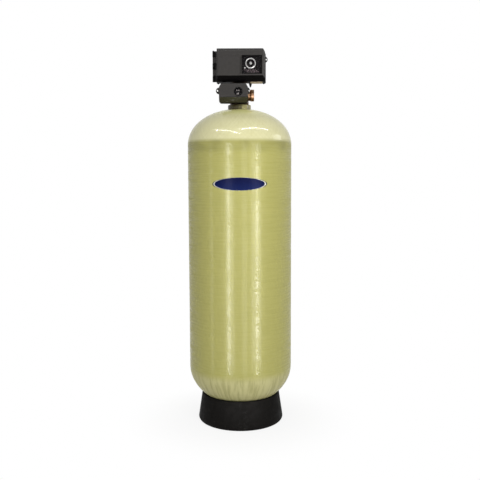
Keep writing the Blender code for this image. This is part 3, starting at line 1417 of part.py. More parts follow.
def build_lower_box():
    """Back box and cover of the lower drive, with two ears each and a round window."""
    pan = hollow(
        "lower_back_box", lower_pan_planes(0.0, False), lower_pan_planes(BOX_WALL, True),
        "housing_black")
    cut(pan, cylinder(
        "lower_rod_hole", BOX_ROD_HOLE, "Y", -LOWER_PARTING, 0, (LOWER_ROD_X, 0, LOWER_AXIS),
        steps=SMALL_STEPS))
    cover = hollow(
        "lower_cover", lower_cover_planes(0.0, False), lower_cover_planes(BOX_WALL, True),
        "cover_charcoal")
    centre = (PORTHOLE_X, 0, LOWER_AXIS)
    cut(cover, cylinder(
        "porthole", PORTHOLE_RADIUS, "Y", -COVER_FRONT - CUT_PAST, -COVER_FRONT + 2 * BOX_WALL, centre))
    ear_z = LOWER_AXIS + LOWER_EAR_RISE
    ears = (
        ("left", -1, LOWER_LEFT, LOWER_LEFT_EAR_REACH), ("right", 1, LOWER_RIGHT, LOWER_RIGHT_EAR_REACH))
    for name, side, wall, reach in ears:
        add_ear_pair(
            cover, pan, f"lower_{name}", wall, reach, ear_z, LOWER_EAR_HEIGHT, LOWER_PARTING, side)
        build_screw(f"lower_{name}_screw", wall + side * reach / 2, ear_z, LOWER_PARTING)
    inside = -COVER_FRONT + BOX_WALL + SEAT
    cylinder(
        "porthole_pane", PORTHOLE_RADIUS + PORTHOLE_LAP, "Y", inside, inside + PANE_THICKNESS, centre,
        "clear_pane")


def build_gland():
    """Tapered strain relief for the cord, with ring grooves, under the upper back box."""
    top = UPPER_AXIS - UPPER_BELOW - SEAT
    bottom = top - GLAND_LENGTH
    taper_top = top - GLAND_FLANGE
    pitch = (taper_top - bottom) / (2 * GLAND_GROOVES + 1)
    profile = [(GLAND_TOP_RADIUS, top), (GLAND_TOP_RADIUS, taper_top)]
    for step in range(2 * GLAND_GROOVES + 2):
        height = taper_top - pitch * step
        share = (taper_top - height) / (taper_top - bottom)
        radius = GLAND_NECK_RADIUS * (1 - share) + GLAND_TIP_RADIUS * share
        profile.append((radius - GLAND_GROOVE_DEPTH * (step % 2), height))
    profile += [(GLAND_BORE_RADIUS, bottom), (GLAND_BORE_RADIUS, top)]
    middle = -(UPPER_PARTING + UPPER_BACK) / 2
    return turned(
        "cord_gland", profile, "Z", (GLAND_X, middle, 0), "seal_rubber", SMALL_STEPS, closed=True)


def build_tank_group():
    """Build the tank, its boot and label, and all that it holds."""
    build_tank_shell()
    build_boot()
    build_label()
    build_riser()
    build_diffuser()
    build_hub()
    build_laterals()
    build_gravel()
    build_calcite()


def build_valve_group():
    """Build the valve with its two drives."""
    build_adapter()
    build_seal_ring()
    build_valve_body()
    drives = (
        (UPPER_STAGE, UPPER_GEAR_FRONT, 0.0),
        (LOWER_STAGE, LOWER_GEAR_FRONT, DRUM_WIDTH),
    )
    for stage, gear_front, drum_width in drives:
        name, rod_x, height = stage.name, stage.rod_x, stage.height
        piston, rod = build_stage_internals(stage, gear_front)
        turning, pinion, yoke = build_drive(stage, gear_front, drum_width)
        motor_y, motor_z = pinion_centre(-gear_front, height)
        axis_empty(f"{name}_gear_axis", (rod_x, -gear_front, height), *turning)
        axis_empty(f"{name}_pinion_axis", (rod_x, motor_y, motor_z), pinion)
        axis_empty(f"{name}_piston_axis", (rod_x, 0, height), piston, rod, yoke)


def build_upper_box_group():
    """Build the upper box, its hinged cover and the timer."""
    pan = build_upper_pan()
    cover = build_upper_cover()
    ear_z = UPPER_AXIS + UPPER_EAR_RISE
    add_ear_pair(
        cover, pan, "upper", UPPER_RIGHT, UPPER_EAR_REACH, ear_z, UPPER_EAR_HEIGHT, UPPER_PARTING, 1)
    screw_x = UPPER_RIGHT + UPPER_EAR_REACH / 2
    screw = build_screw("cover_screw", screw_x, ear_z, UPPER_PARTING)
    pane = build_pane()
    axis_x, axis_y = hinge_axis()
    axis_empty("cover_hinge_axis", (axis_x, axis_y, UPPER_AXIS), cover, pane, screw)
    build_hinge_pin()
    build_face_plate()
    build_timer_case()
    disc, ring = build_dial()
    axis_empty("dial_axis", dial_centre(0.0), disc, ring)
    axis_empty("knob_axis", dial_centre(0.0), build_knob())
    axis_empty("button_axis", (BUTTON_X, face_front(), UPPER_AXIS - BUTTON_DROP), build_button())
    build_gland()


clear_scene()
PIECES = make_collection("acid_neutralizing_filter")
CUTTERS = make_collection("cutters")
build_tank_group()
build_valve_group()
build_upper_box_group()
build_lower_box()
bpy.context.view_layer.update()
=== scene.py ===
"""Looks of the acid neutralizing filter: a wound glass-fibre tank in a moulded boot, with a brass
backwash valve and two black drive boxes on top.

Metres, +Z up, the front faces -Y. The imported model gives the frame, and every piece stands in it.
"""

import json
import logging
import math
from dataclasses import dataclass, field
from enum import Enum
from typing import Any, Iterable, Sequence

import bmesh
import bpy
from mathutils import Matrix, Vector


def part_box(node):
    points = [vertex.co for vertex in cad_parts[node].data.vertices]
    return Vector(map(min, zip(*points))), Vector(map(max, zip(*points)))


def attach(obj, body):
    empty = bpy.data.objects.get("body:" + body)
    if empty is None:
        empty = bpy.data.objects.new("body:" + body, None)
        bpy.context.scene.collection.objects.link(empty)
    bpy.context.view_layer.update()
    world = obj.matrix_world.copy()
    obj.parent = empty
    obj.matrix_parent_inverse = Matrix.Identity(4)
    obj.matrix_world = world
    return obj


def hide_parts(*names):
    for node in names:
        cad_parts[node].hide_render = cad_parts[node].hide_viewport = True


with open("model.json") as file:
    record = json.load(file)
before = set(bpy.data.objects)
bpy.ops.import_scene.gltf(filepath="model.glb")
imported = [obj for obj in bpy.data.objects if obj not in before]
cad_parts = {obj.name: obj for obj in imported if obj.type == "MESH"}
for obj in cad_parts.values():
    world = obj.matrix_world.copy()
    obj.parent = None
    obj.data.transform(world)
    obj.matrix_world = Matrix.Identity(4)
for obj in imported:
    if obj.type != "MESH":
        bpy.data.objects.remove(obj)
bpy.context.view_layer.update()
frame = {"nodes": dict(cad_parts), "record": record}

LOG = logging.getLogger("neutralizing_filter")
MERGE = 0.000002  # corners nearer than this are one
SEAT = 0.0003  # clearance between two pieces that lie on each other
ROD_ROOM = 0.006  # radius of the hole that a piston rod passes through
PROBE = 0.01  # how far a cutting solid stands out past what it cuts
STRAND_LEAN = 3.1  # turn in radians of a crossing strand to a metre of height

Colour = tuple[float, float, float]
Point = tuple[float, float]
Place = tuple[float, float, float]
Plane = tuple[Vector, Vector]
Solid = bmesh.types.BMesh
Piece = bpy.types.Object
Node = bpy.types.Node
Socket = bpy.types.NodeSocket
Tree = bpy.types.NodeTree


class Axis(Enum):
    """Direction that a turned piece points in."""

    X = "X"
    Y = "Y"
    Z = "Z"

    def turn(self) -> Matrix:
        """Return the turn that takes +Z to this direction."""
        turns = {
            "X": Matrix.Rotation(math.pi / 2, 4, "Y"),
            "Y": Matrix.Rotation(-math.pi / 2, 4, "X"),
            "Z": Matrix.Identity(4),
        }
        return turns[self.value]

    def lay(self) -> Matrix:
        """Return the turn that stands a drawn outline across this direction."""
        turns = {
            "X": Matrix.Rotation(math.pi / 2, 4, "Z") @ Matrix.Rotation(math.pi / 2, 4, "X"),
            "Y": Matrix.Rotation(math.pi / 2, 4, "X"),
            "Z": Matrix.Identity(4),
        }
        return turns[self.value]


class Side(Enum):
    """Left or right, seen from the front."""

    LEFT = -1
    RIGHT = 1


class Carve(Enum):
    """What one solid does to another."""

    CUT = "DIFFERENCE"
    FUSE = "UNION"


# Outlines


def fillet(points: Sequence[Point], radius: float, steps: int = 3) -> list[Point]:
    """Round the corners of an open outline.

    Args:
        points: The outline's corners, in order.
        radius: How far from each corner its rounding starts.
        steps: How many straight stretches make one rounding.

    Returns:
        The outline with its corners rounded and its two ends as they were.
    """
    outline = [tuple(points[0])]
    for before, corner, after in zip(points, points[1:], points[2:]):
        middle = Vector(corner)
        back, on = Vector(before) - middle, Vector(after) - middle
        start = middle + back.normalized() * min(radius, back.length / 2)
        end = middle + on.normalized() * min(radius, on.length / 2)
        for step in range(steps + 1):
            share = step / steps
            spot = start * (1 - share) ** 2 + middle * 2 * share * (1 - share) + end * share**2
            outline.append(tuple(spot))
    outline.append(tuple(points[-1]))
    return outline


def rounded_loop(points: Sequence[Point], radius: float, steps: int = 3) -> list[Point]:
    """Round every corner of a closed outline.

    Args:
        points: The outline's corners, in order, without the first one repeated.
        radius: How far from each corner its rounding starts.
        steps: How many straight stretches make one rounding.

    Returns:
        The closed outline with its corners rounded.
    """
    ring = [*points, points[0], points[1]]
    return fillet(ring, radius, steps)[1:-1]


def arc(centre: Point, across: float, up: float, start: float, end: float, steps: int) -> list[Point]:
    """Return points along an elliptic arc.

    Args:
        centre: The middle of the ellipse.
        across: Its half width.
        up: Its half height.
        start: Where the arc starts, in degrees.
        end: Where the arc ends, in degrees.
        steps: How many straight stretches it has.

    Returns:
        The points, in order.
    """
    angles = [math.radians(start + (end - start) * step / steps) for step in range(steps + 1)]
    return [(centre[0] + across * math.cos(a), centre[1] + up * math.sin(a)) for a in angles]


def dome(equator: float, height: float, fullness: float, pole: float, steps: int) -> list[Point]:
    """Return a dome's (radius, rise) points, from its pole's radius down to its tangent line.

    Args:
        equator: The dome's radius at its tangent line.
        height: How high it would rise on its axis.
        fullness: 2 for an ellipse, more for a squarer dome.
        pole: The radius at which it starts.
        steps: How many straight stretches it has.

    Returns:
        The points, in order.
    """
    start = math.acos((pole / equator) ** (fullness / 2))
    angles = [start * (1 - step / steps) for step in range(steps + 1)]
    return [
        (equator * math.cos(a) ** (2 / fullness), height * math.sin(a) ** (2 / fullness))
        for a in angles
    ]


# Solids


def spun(profile: Sequence[Point], steps: int = 64, closed: bool = False) -> Solid:
    """Spin a (radius, height) profile round the Z axis.

    Args:
        profile: The points of the section, in order.
        steps: How many faces go round.
        closed: Whether the last point joins the first one.

    Returns:
        The solid, with its seam and its poles closed.
    """
    solid = bmesh.new()
    points = [solid.verts.new((radius, 0.0, height)) for radius, height in profile]
    edges = [solid.edges.new(pair) for pair in zip(points, points[1:])]
    if closed:
        edges.append(solid.edges.new((points[-1], points[0])))
    bmesh.ops.spin(
        solid, geom=points + edges, cent=(0, 0, 0), axis=(0, 0, 1), angle=2 * math.pi, steps=steps,
        use_merge=True)
    bmesh.ops.remove_doubles(solid, verts=solid.verts, dist=MERGE)
    bmesh.ops.dissolve_degenerate(solid, edges=solid.edges, dist=MERGE)
    bmesh.ops.recalc_face_normals(solid, faces=solid.faces)
    return solid


def rod(radius: float, start: float, end: float, steps: int = 48, edge: float = 0.0) -> Solid:
    """Return a round bar on the Z axis.

    Args:
        radius: The bar's radius.
        start: Its low end.
        end: Its high end.
        steps: How many faces go round.
        edge: How far its two rims are rounded.

    Returns:
        The solid.
    """
    profile = [(0.0, start), (radius, start), (radius, end), (0.0, end)]
    return spun(fillet(profile, edge) if edge else profile, steps)


def brick(low: Sequence[float], high: Sequence[float], edge: float = 0.0, steps: int = 2) -> Solid:
    """Return a box between two corners.

    Args:
        low: The lowest corner.
        high: The highest corner.
        edge: How far its edges are rounded.
        steps: How many faces make one rounding.

    Returns:
        The solid.
    """
    solid = bmesh.new()
    bmesh.ops.create_cube(solid, size=1.0)
    low, high = Vector(low), Vector(high)
    bmesh.ops.scale(solid, vec=high - low, verts=solid.verts)
    bmesh.ops.translate(solid, vec=(low + high) / 2, verts=solid.verts)
    if edge:
        soften(solid, edge, steps)
    return solid


def thicken(solid: Solid, faces: list[Any], thickness: float) -> None:
    """Extrude flat faces along Z.

    Args:
        solid: The flat solid.
        faces: Its faces.
        thickness: How far they are moved.
    """
    grown = bmesh.ops.extrude_face_region(solid, geom=faces)
    lifted = [item for item in grown["geom"] if isinstance(item, bmesh.types.BMVert)]
    bmesh.ops.translate(solid, vec=(0, 0, thickness), verts=lifted)


def slab(outline: Sequence[Point], thickness: float, edge: float = 0.0) -> Solid:
    """Extrude a drawn outline, half of its thickness to each side.

    Args:
        outline: The closed outline's (across, up) points.
        thickness: How thick the slab is.
        edge: How far its edges are rounded.

    Returns:
        The solid, drawn in X and Y.
    """
    solid = bmesh.new()
    points = [solid.verts.new((across, up, -thickness / 2)) for across, up in outline]
    thicken(solid, [solid.faces.new(points)], thickness)
    bmesh.ops.remove_doubles(solid, verts=solid.verts, dist=MERGE)
    bmesh.ops.recalc_face_normals(solid, faces=solid.faces)
    if edge:
        rims = [item for item in solid.edges if abs(item.verts[0].co.z - item.verts[1].co.z) < MERGE]
        bmesh.ops.bevel(
            solid, geom=rims, offset=edge, segments=2, affect="EDGES", profile=0.5, material=-1)
    return solid


def sliced(solid: Solid, point: Any, outward: Any, near: float = MERGE, clear: bool = True) -> list[Any]:
    """Slice a solid along a plane.

    Args:
        solid: The solid.
        point: A point of the plane.
        outward: The way that the plane faces.
        near: How near to the plane a corner counts as on it.
        clear: Whether what lies in front of the plane goes.

    Returns:
        The edges on the cut.
    """
    everything = solid.verts[:] + solid.edges[:] + solid.faces[:]
    cut = bmesh.ops.bisect_plane(
        solid, geom=everything, plane_co=point, plane_no=outward, clear_outer=clear, dist=near)
    return [item for item in cut["geom_cut"] if isinstance(item, bmesh.types.BMEdge)]


def behind(planes: Iterable[Plane], reach: float = 3.0) -> Solid:
    """Return the solid that lies behind every plane.

    Args:
        planes: Each plane's point and outward direction.
        reach: The half width of the block that the planes cut.

    Returns:
        The solid.
    """
    solid = bmesh.new()
    bmesh.ops.create_cube(solid, size=2 * reach)
    for point, outward in planes:
        rim = sliced(solid, point, outward, MERGE / 2)
        if rim:
            bmesh.ops.contextual_create(solid, geom=rim)
    bmesh.ops.recalc_face_normals(solid, faces=solid.faces)
    return solid


def soften(solid: Solid, edge: float, steps: int = 3) -> None:
    """Round every edge of a solid.

    Args:
        solid: The solid.
        edge: How far from each edge its rounding starts.
        steps: How many faces make one rounding.
    """
    bmesh.ops.bevel(
        solid, geom=solid.edges[:], offset=edge, segments=steps, affect="EDGES", profile=0.5,
        material=-1, clamp_overlap=True)


def moved(solid: Solid, place: Matrix) -> Solid:
    """Move a solid and return it."""
    bmesh.ops.transform(solid, matrix=place, verts=solid.verts)
    return solid


def at(axis: Axis, centre: Sequence[float]) -> Matrix:
    """Return the place of a turned piece that points along an axis from a centre."""
    return Matrix.Translation(Vector(centre)) @ axis.turn()


def along_y(solid: Solid, spot: Vector) -> Solid:
    """Lay a turned solid along Y, with its axis through a place."""
    return moved(solid, at(Axis.Y, (spot.x, 0.0, spot.z)))


def along_z(solid: Solid, spot: Vector) -> Solid:
    """Stand a turned solid on a place, at the height it has."""
    return moved(solid, Matrix.Translation((spot.x, spot.y, 0.0)))


def across(axis: Axis, centre: Sequence[float]) -> Matrix:
    """Return the place of a drawn slab that stands across an axis at a centre."""
    return Matrix.Translation(Vector(centre)) @ axis.lay()


def joined(*solids: Solid) -> Solid:
    """Put several solids into the first one and return it."""
    whole = solids[0]
    for solid in solids[1:]:
        mesh = bpy.data.meshes.new("part")
        solid.to_mesh(mesh)
        solid.free()
        whole.from_mesh(mesh)
        bpy.data.meshes.remove(mesh)
    return whole


def shape(name: str, solid: Solid, crisp: bool = False, angle: float = 38.0) -> Piece:
    """Turn a solid into an object at the origin, smooth up to an angle.

    Args:
        name: The piece's name.
        solid: Its shape, which is used up.
        crisp: Whether flat faces keep a flat shade beside their rounded edges.
        angle: The angle in degrees past which an edge stays sharp.

    Returns:
        The object.
    """
    mesh = bpy.data.meshes.new(name)
    solid.to_mesh(mesh)
    solid.free()
    piece = bpy.data.objects.new(name, mesh)
    bpy.context.scene.collection.objects.link(piece)
    smoothed(piece, crisp, angle)
    return piece


def smoothed(piece: Piece, crisp: bool = False, angle: float = 38.0) -> None:
    """Shade a piece smooth up to an angle.

    Args:
        piece: The piece.
        crisp: Whether flat faces keep a flat shade beside their rounded edges.
        angle: The angle in degrees past which an edge stays sharp.
    """
    piece.data.shade_smooth()
    piece.data.set_sharp_from_angle(angle=math.radians(angle))
    if crisp:
        weighted = piece.modifiers.new("even shade", "WEIGHTED_NORMAL")
        weighted.keep_sharp = True
        settle(piece)


def settle(piece: Piece) -> None:
    """Make a piece's modifiers part of its mesh."""
    bpy.context.view_layer.update()
    graph = bpy.context.evaluated_depsgraph_get()
    mesh = bpy.data.meshes.new_from_object(piece.evaluated_get(graph))
    piece.modifiers.clear()
    piece.data = mesh


def carve(piece: Piece, tool: Solid, how: Carve = Carve.CUT) -> None:
    """Cut a solid out of a piece, or fuse it on.

    Args:
        piece: The piece.
        tool: The other solid, which is used up.
        how: What it does to the piece.
    """
    other = shape("tool", tool)
    boolean = piece.modifiers.new("carve", "BOOLEAN")
    boolean.operation = how.value
    boolean.solver = "EXACT"
    boolean.object = other
    settle(piece)
    bpy.data.objects.remove(other, do_unlink=True)


def hollowed(piece: Piece, wall: float) -> None:
    """Give an open skin a wall that grows inwards.

    Args:
        piece: The open skin.
        wall: How thick the wall is.
    """
    solidify = piece.modifiers.new("wall", "SOLIDIFY")
    solidify.thickness = wall
    solidify.offset = -1.0
    solidify.use_even_offset = True
    settle(piece)


# Finishes


@dataclass
class Graph:
    """Node tree of a material or of a group, with short calls that add and join its nodes.

    Attributes:
        tree: The node tree that it adds to.
    """

    tree: Tree

    def feed(self, node: Node, inputs: dict[Any, Any]) -> None:
        """Give a node its inputs.

        Args:
            node: The node.
            inputs: Values or sockets for its inputs, by name or number.
        """
        for key, value in inputs.items():
            if isinstance(value, Socket):
                self.tree.links.new(value, node.inputs[key])
            else:
                node.inputs[key].default_value = value

    def add(self, kind: str, inputs: dict[Any, Any], **settings: Any) -> Node:
        """Add a node.

        Args:
            kind: The node's type.
            inputs: Values or sockets for its inputs, by name or number.
            **settings: The node's own settings.

        Returns:
            The node.
        """
        node = self.tree.nodes.new(kind)
        for key, value in settings.items():
            setattr(node, key, value)
        self.feed(node, inputs)
        return node

    def math(self, operation: str, first: Any, second: Any = 0.0) -> Socket:
        """Return one value worked out from two."""
        return self.add("ShaderNodeMath", {0: first, 1: second}, operation=operation).outputs[0]

    def spread(self, value: Any, low: float, high: float, start: Any = 0.0, end: Any = 1.0) -> Socket:
        """Map a stretch of a value smoothly to another.

        Args:
            value: The value.
            low: Where the stretch starts.
            high: Where it ends.
            start: What its start becomes.
            end: What its end becomes.

        Returns:
            The mapped value.
        """
        inputs = {"Value": value, "From Min": low, "From Max": high, "To Min": start, "To Max": end}
        return self.add("ShaderNodeMapRange", inputs, interpolation_type="SMOOTHSTEP").outputs[0]

    def blend(self, share: Any, first: Any, second: Any) -> Socket:
        """Mix two colours by a share.

        Args:
            share: How much of the second colour there is.
            first: The first colour.
            second: The second colour.

        Returns:
            The mixed colour.
        """
        pair = [(*c, 1.0) if isinstance(c, tuple) else c for c in (first, second)]
        node = self.add("ShaderNodeMix", {0: share, 6: pair[0], 7: pair[1]}, data_type="RGBA")
        return node.outputs[2]

    def noise(self, vector: Any, scale: Any, detail: float = 2.0, roughness: float = 0.5) -> Socket:
        """Return cloudy noise at a place.

        Args:
            vector: The place.
            scale: How many clouds there are to a metre.
            detail: How many finer layers it has.
            roughness: How strong they are.

        Returns:
            The noise, about 0.3 to 0.7.
        """
        inputs = {"Vector": vector, "Scale": scale, "Detail": detail, "Roughness": roughness}
        return self.add("ShaderNodeTexNoise", inputs).outputs[0]

    def stretched(self, vector: Any, scale: Sequence[float]) -> Socket:
        """Return a place with each of its directions scaled by itself."""
        node = self.add("ShaderNodeVectorMath", {0: vector, 1: tuple(scale)}, operation="MULTIPLY")
        return node.outputs[0]

    def offset(self, vector: Any, by: Any) -> Socket:
        """Return a place moved by another."""
        return self.add("ShaderNodeVectorMath", {0: vector, 1: by}, operation="ADD").outputs[0]

    def around(self, place: Socket) -> Socket:
        """Return the direction from the Z axis to a place."""
        flat = self.stretched(place, (1.0, 1.0, 0.0))
        return self.add("ShaderNodeVectorMath", {0: flat}, operation="NORMALIZE").outputs[0]

    def use(self, group: Tree, inputs: dict[str, Any]) -> Node:
        """Place a shared group with its own values."""
        node = self.tree.nodes.new("ShaderNodeGroup")
        node.node_tree = group
        self.feed(node, inputs)
        return node


@dataclass
class SharedEffects:
    """Surface effects that several finishes use, each built once as a node group."""

    groups: dict[str, Tree] = field(default_factory=dict)

    def _start(self, name: str, inputs: dict[str, float], outputs: Sequence[str]) -> tuple[Graph, Any, Any]:
        """Start a group whose first input is a place.

        Args:
            name: The group's name.
            inputs: Its other inputs, with what they are by default.
            outputs: The names of its values.

        Returns:
            Its graph, its input node and its output node.
        """
        tree = bpy.data.node_groups.new(name, "ShaderNodeTree")
        tree.interface.new_socket("Place", in_out="INPUT", socket_type="NodeSocketVector")
        for label, value in inputs.items():
            socket = tree.interface.new_socket(label, in_out="INPUT", socket_type="NodeSocketFloat")
            socket.default_value = value
        for label in outputs:
            tree.interface.new_socket(label, in_out="OUTPUT", socket_type="NodeSocketFloat")
        self.groups[name] = tree
        return Graph(tree), tree.nodes.new("NodeGroupInput"), tree.nodes.new("NodeGroupOutput")

    def grain(self) -> Tree:
        """Return the pebbled grain of a moulded, cast or stony surface."""
        if "surface grain" not in self.groups:
            graph, given, out = self._start("surface grain", {"Scale": 900.0}, ("Height", "Tone"))
            cells = graph.add(
                "ShaderNodeTexVoronoi", {"Vector": given.outputs[0], "Scale": given.outputs[1]})
            cloud = graph.noise(given.outputs[0], given.outputs[1], 3.0, 0.6)
            height = graph.math("ADD", graph.math("MULTIPLY", cells.outputs[0], 0.6), cloud)
            slow = graph.math("DIVIDE", given.outputs[1], 24.0)
            tone = graph.spread(graph.noise(given.outputs[0], slow, 4.0, 0.6), 0.3, 0.7)
            graph.feed(out, {0: height, 1: tone})
        return self.groups["surface grain"]

    def scuffs(self) -> Tree:
        """Return sparse scuffs and rubbed spots."""
        if "scuffs" not in self.groups:
            graph, given, out = self._start("scuffs", {"Scale": 14.0, "Amount": 0.5}, ("Mask",))
            patch = graph.noise(given.outputs[0], given.outputs[1], 5.0, 0.65)
            limit = graph.math("SUBTRACT", 0.78, graph.math("MULTIPLY", given.outputs[2], 0.25))
            above = graph.math("SUBTRACT", patch, limit)
            fine = graph.noise(given.outputs[0], graph.math("MULTIPLY", given.outputs[1], 11.0), 3.0, 0.7)
            mask = graph.math("MULTIPLY", graph.spread(above, 0.0, 0.14), graph.spread(fine, 0.4, 0.62))
            graph.feed(out, {0: mask})
        return self.groups["scuffs"]

    def winding(self, low: float, high: float) -> Tree:
        """Return the strands of a wound tank: hoops on its side, crossing and radial ones on its domes.

        Args:
            low: The height of the lower tangent line.
            high: The height of the upper tangent line.

        Returns:
            The group.
        """
        graph, given, out = self._start("winding", {"Hoops": 250.0}, ("Tone", "Height", "Dome", "Break"))
        place = given.outputs[0]
        parts = graph.add("ShaderNodeSeparateXYZ", {0: place})
        height = parts.outputs[2]
        around = graph.around(place)
        fall = graph.spread(height, low - 0.030, low + 0.024, 1.0, 0.0)
        rise = graph.spread(height, high - 0.014, high + 0.014)
        on_dome = graph.math("MAXIMUM", fall, rise)
        tall = graph.add("ShaderNodeCombineXYZ", {2: graph.math("MULTIPLY", height, given.outputs[1])})
        slow = graph.stretched(place, (3.0, 3.0, 0.0))
        hoops = graph.noise(graph.offset(slow, tall.outputs[0]), 1.0, 3.0, 0.7)
        broad = graph.noise(graph.stretched(place, (1.6, 1.6, 11.0)), 1.0, 3.0, 0.55)
        crossing = []
        for lean in (STRAND_LEAN, -STRAND_LEAN):
            angle = graph.math("MULTIPLY", height, lean)
            turned = graph.add(
                "ShaderNodeVectorRotate", {"Vector": around, "Angle": angle}, rotation_type="Z_AXIS")
            strands = graph.stretched(turned.outputs[0], (30.0, 30.0, 1.0))
            crossing.append(graph.noise(strands, 1.0, 3.0, 0.7))
        helix = graph.math("MULTIPLY", graph.math("ADD", crossing[0], crossing[1]), 0.5)
        radial_place = graph.offset(
            graph.stretched(around, (46.0, 46.0, 1.0)), graph.stretched(place, (2.0, 2.0, 5.0)))
        radial = graph.noise(radial_place, 1.0, 4.0, 0.68)
        side = graph.math("ADD", graph.math("MULTIPLY", hoops, 0.8), graph.math("MULTIPLY", broad, 0.2))
        under = graph.spread(height, low, high, 0.75, 0.2)
        radial = graph.math("MULTIPLY", radial, under)
        other = graph.math("MULTIPLY", helix, graph.math("SUBTRACT", 0.9, under))
        cap = graph.math("ADD", graph.math("ADD", radial, other), 0.05)
        mixed = graph.add("ShaderNodeMix", {0: on_dome, 2: side, 3: cap})
        sharp = graph.add("ShaderNodeMix", {0: on_dome, 2: -0.10, 3: 0.15}).outputs[0]
        tone = graph.spread(mixed.outputs[0], sharp, graph.math("SUBTRACT", 1.0, sharp))
        lines = graph.noise(graph.stretched(place, (9.0, 9.0, 100.0)), 1.0, 1.0, 0.6)
        lines = graph.spread(lines, 0.38, 0.62, 0.38, 0.70)
        calm = graph.spread(height, low, high, 0.25, 0.75)
        even = graph.add("ShaderNodeMix", {0: on_dome, 2: lines, 3: calm}).outputs[0]
        ridges = graph.math("MULTIPLY", mixed.outputs[0], graph.spread(on_dome, 0.0, 1.0, 1.0, 0.55))
        graph.feed(out, {0: tone, 1: ridges, 2: on_dome, 3: even})
        return self.groups["winding"]


EFFECTS = SharedEffects()


@dataclass(frozen=True)
class Finish:
    """A surface with one colour, a gloss and a fine grain.

    Attributes:
        name: The material's name.
        slot: The record's material slot that it belongs to; not used.
        colour: Its plain colour.
        roughness: How dull it is.
        metallic: 1 for metal.
        grain: How many grains there are to a metre.
        depth: How deep they are, in metres.
        shade: How much darker its darkest patches are, from 0 to 1.
        scuffed: How much of it is rubbed, from 0 to 1.
        gloss: How strongly it reflects when it isn't metal, where 0.5 is usual.
    """

    name: str
    slot: str
    colour: Colour
    roughness: float = 0.4
    metallic: float = 0.0
    grain: float = 900.0
    depth: float = 0.00004
    shade: float = 0.12
    scuffed: float = 0.0
    gloss: float = 0.5

    def material(self) -> bpy.types.Material:
        """Return the finish's material, which is made the first time."""
        known = bpy.data.materials.get(self.name)
        if known:
            return known
        material = bpy.data.materials.new(self.name)
        material.use_nodes = True
        graph = Graph(material.node_tree)
        shader = material.node_tree.nodes["Principled BSDF"]
        graph.feed(shader, {"Metallic": self.metallic, "Specular IOR Level": self.gloss})
        material.diffuse_color = (*self.colour, 1.0)
        place = graph.add("ShaderNodeTexCoord", {}).outputs["Object"]
        self.paint(graph, shader, place)
        return material

    def darker(self, share: float) -> Colour:
        """Return the finish's colour with a share of its light taken away."""
        return tuple(value * (1.0 - share) for value in self.colour)

    def paint(self, graph: Graph, shader: Node, place: Socket) -> None:
        """Give the shader its colour, gloss and bumps.

        Args:
            graph: The material's graph.
            shader: Its Principled shader.
            place: The place on the surface.
        """
        grain = graph.use(EFFECTS.grain(), {"Place": place, "Scale": self.grain})
        colour = graph.blend(grain.outputs["Tone"], self.darker(self.shade), self.colour)
        rough = graph.spread(grain.outputs["Tone"], 0.0, 1.0, self.roughness * 1.12, self.roughness * 0.9)
        if self.scuffed:
            scuffs = graph.use(EFFECTS.scuffs(), {"Place": place, "Amount": self.scuffed})
            pale = tuple(min(1.0, value * 1.6 + 0.012) for value in self.colour)
            colour = graph.blend(scuffs.outputs[0], colour, pale)
            rough = graph.math("ADD", rough, graph.math("MULTIPLY", scuffs.outputs[0], 0.15))
        self.bump(graph, shader, grain.outputs["Height"], self.depth)
        graph.feed(shader, {"Base Color": colour, "Roughness": rough})

    def bump(self, graph: Graph, shader: Node, height: Any, depth: float) -> None:
        """Raise and sink the surface by a height.

        Args:
            graph: The material's graph.
            shader: Its Principled shader.
            height: The height, about 0 to 1.
            depth: What a height of 1 is, in metres.
        """
        inputs = {"Strength": 1.0, "Distance": depth, "Height": height}
        graph.feed(shader, {"Normal": graph.add("ShaderNodeBump", inputs).outputs[0]})


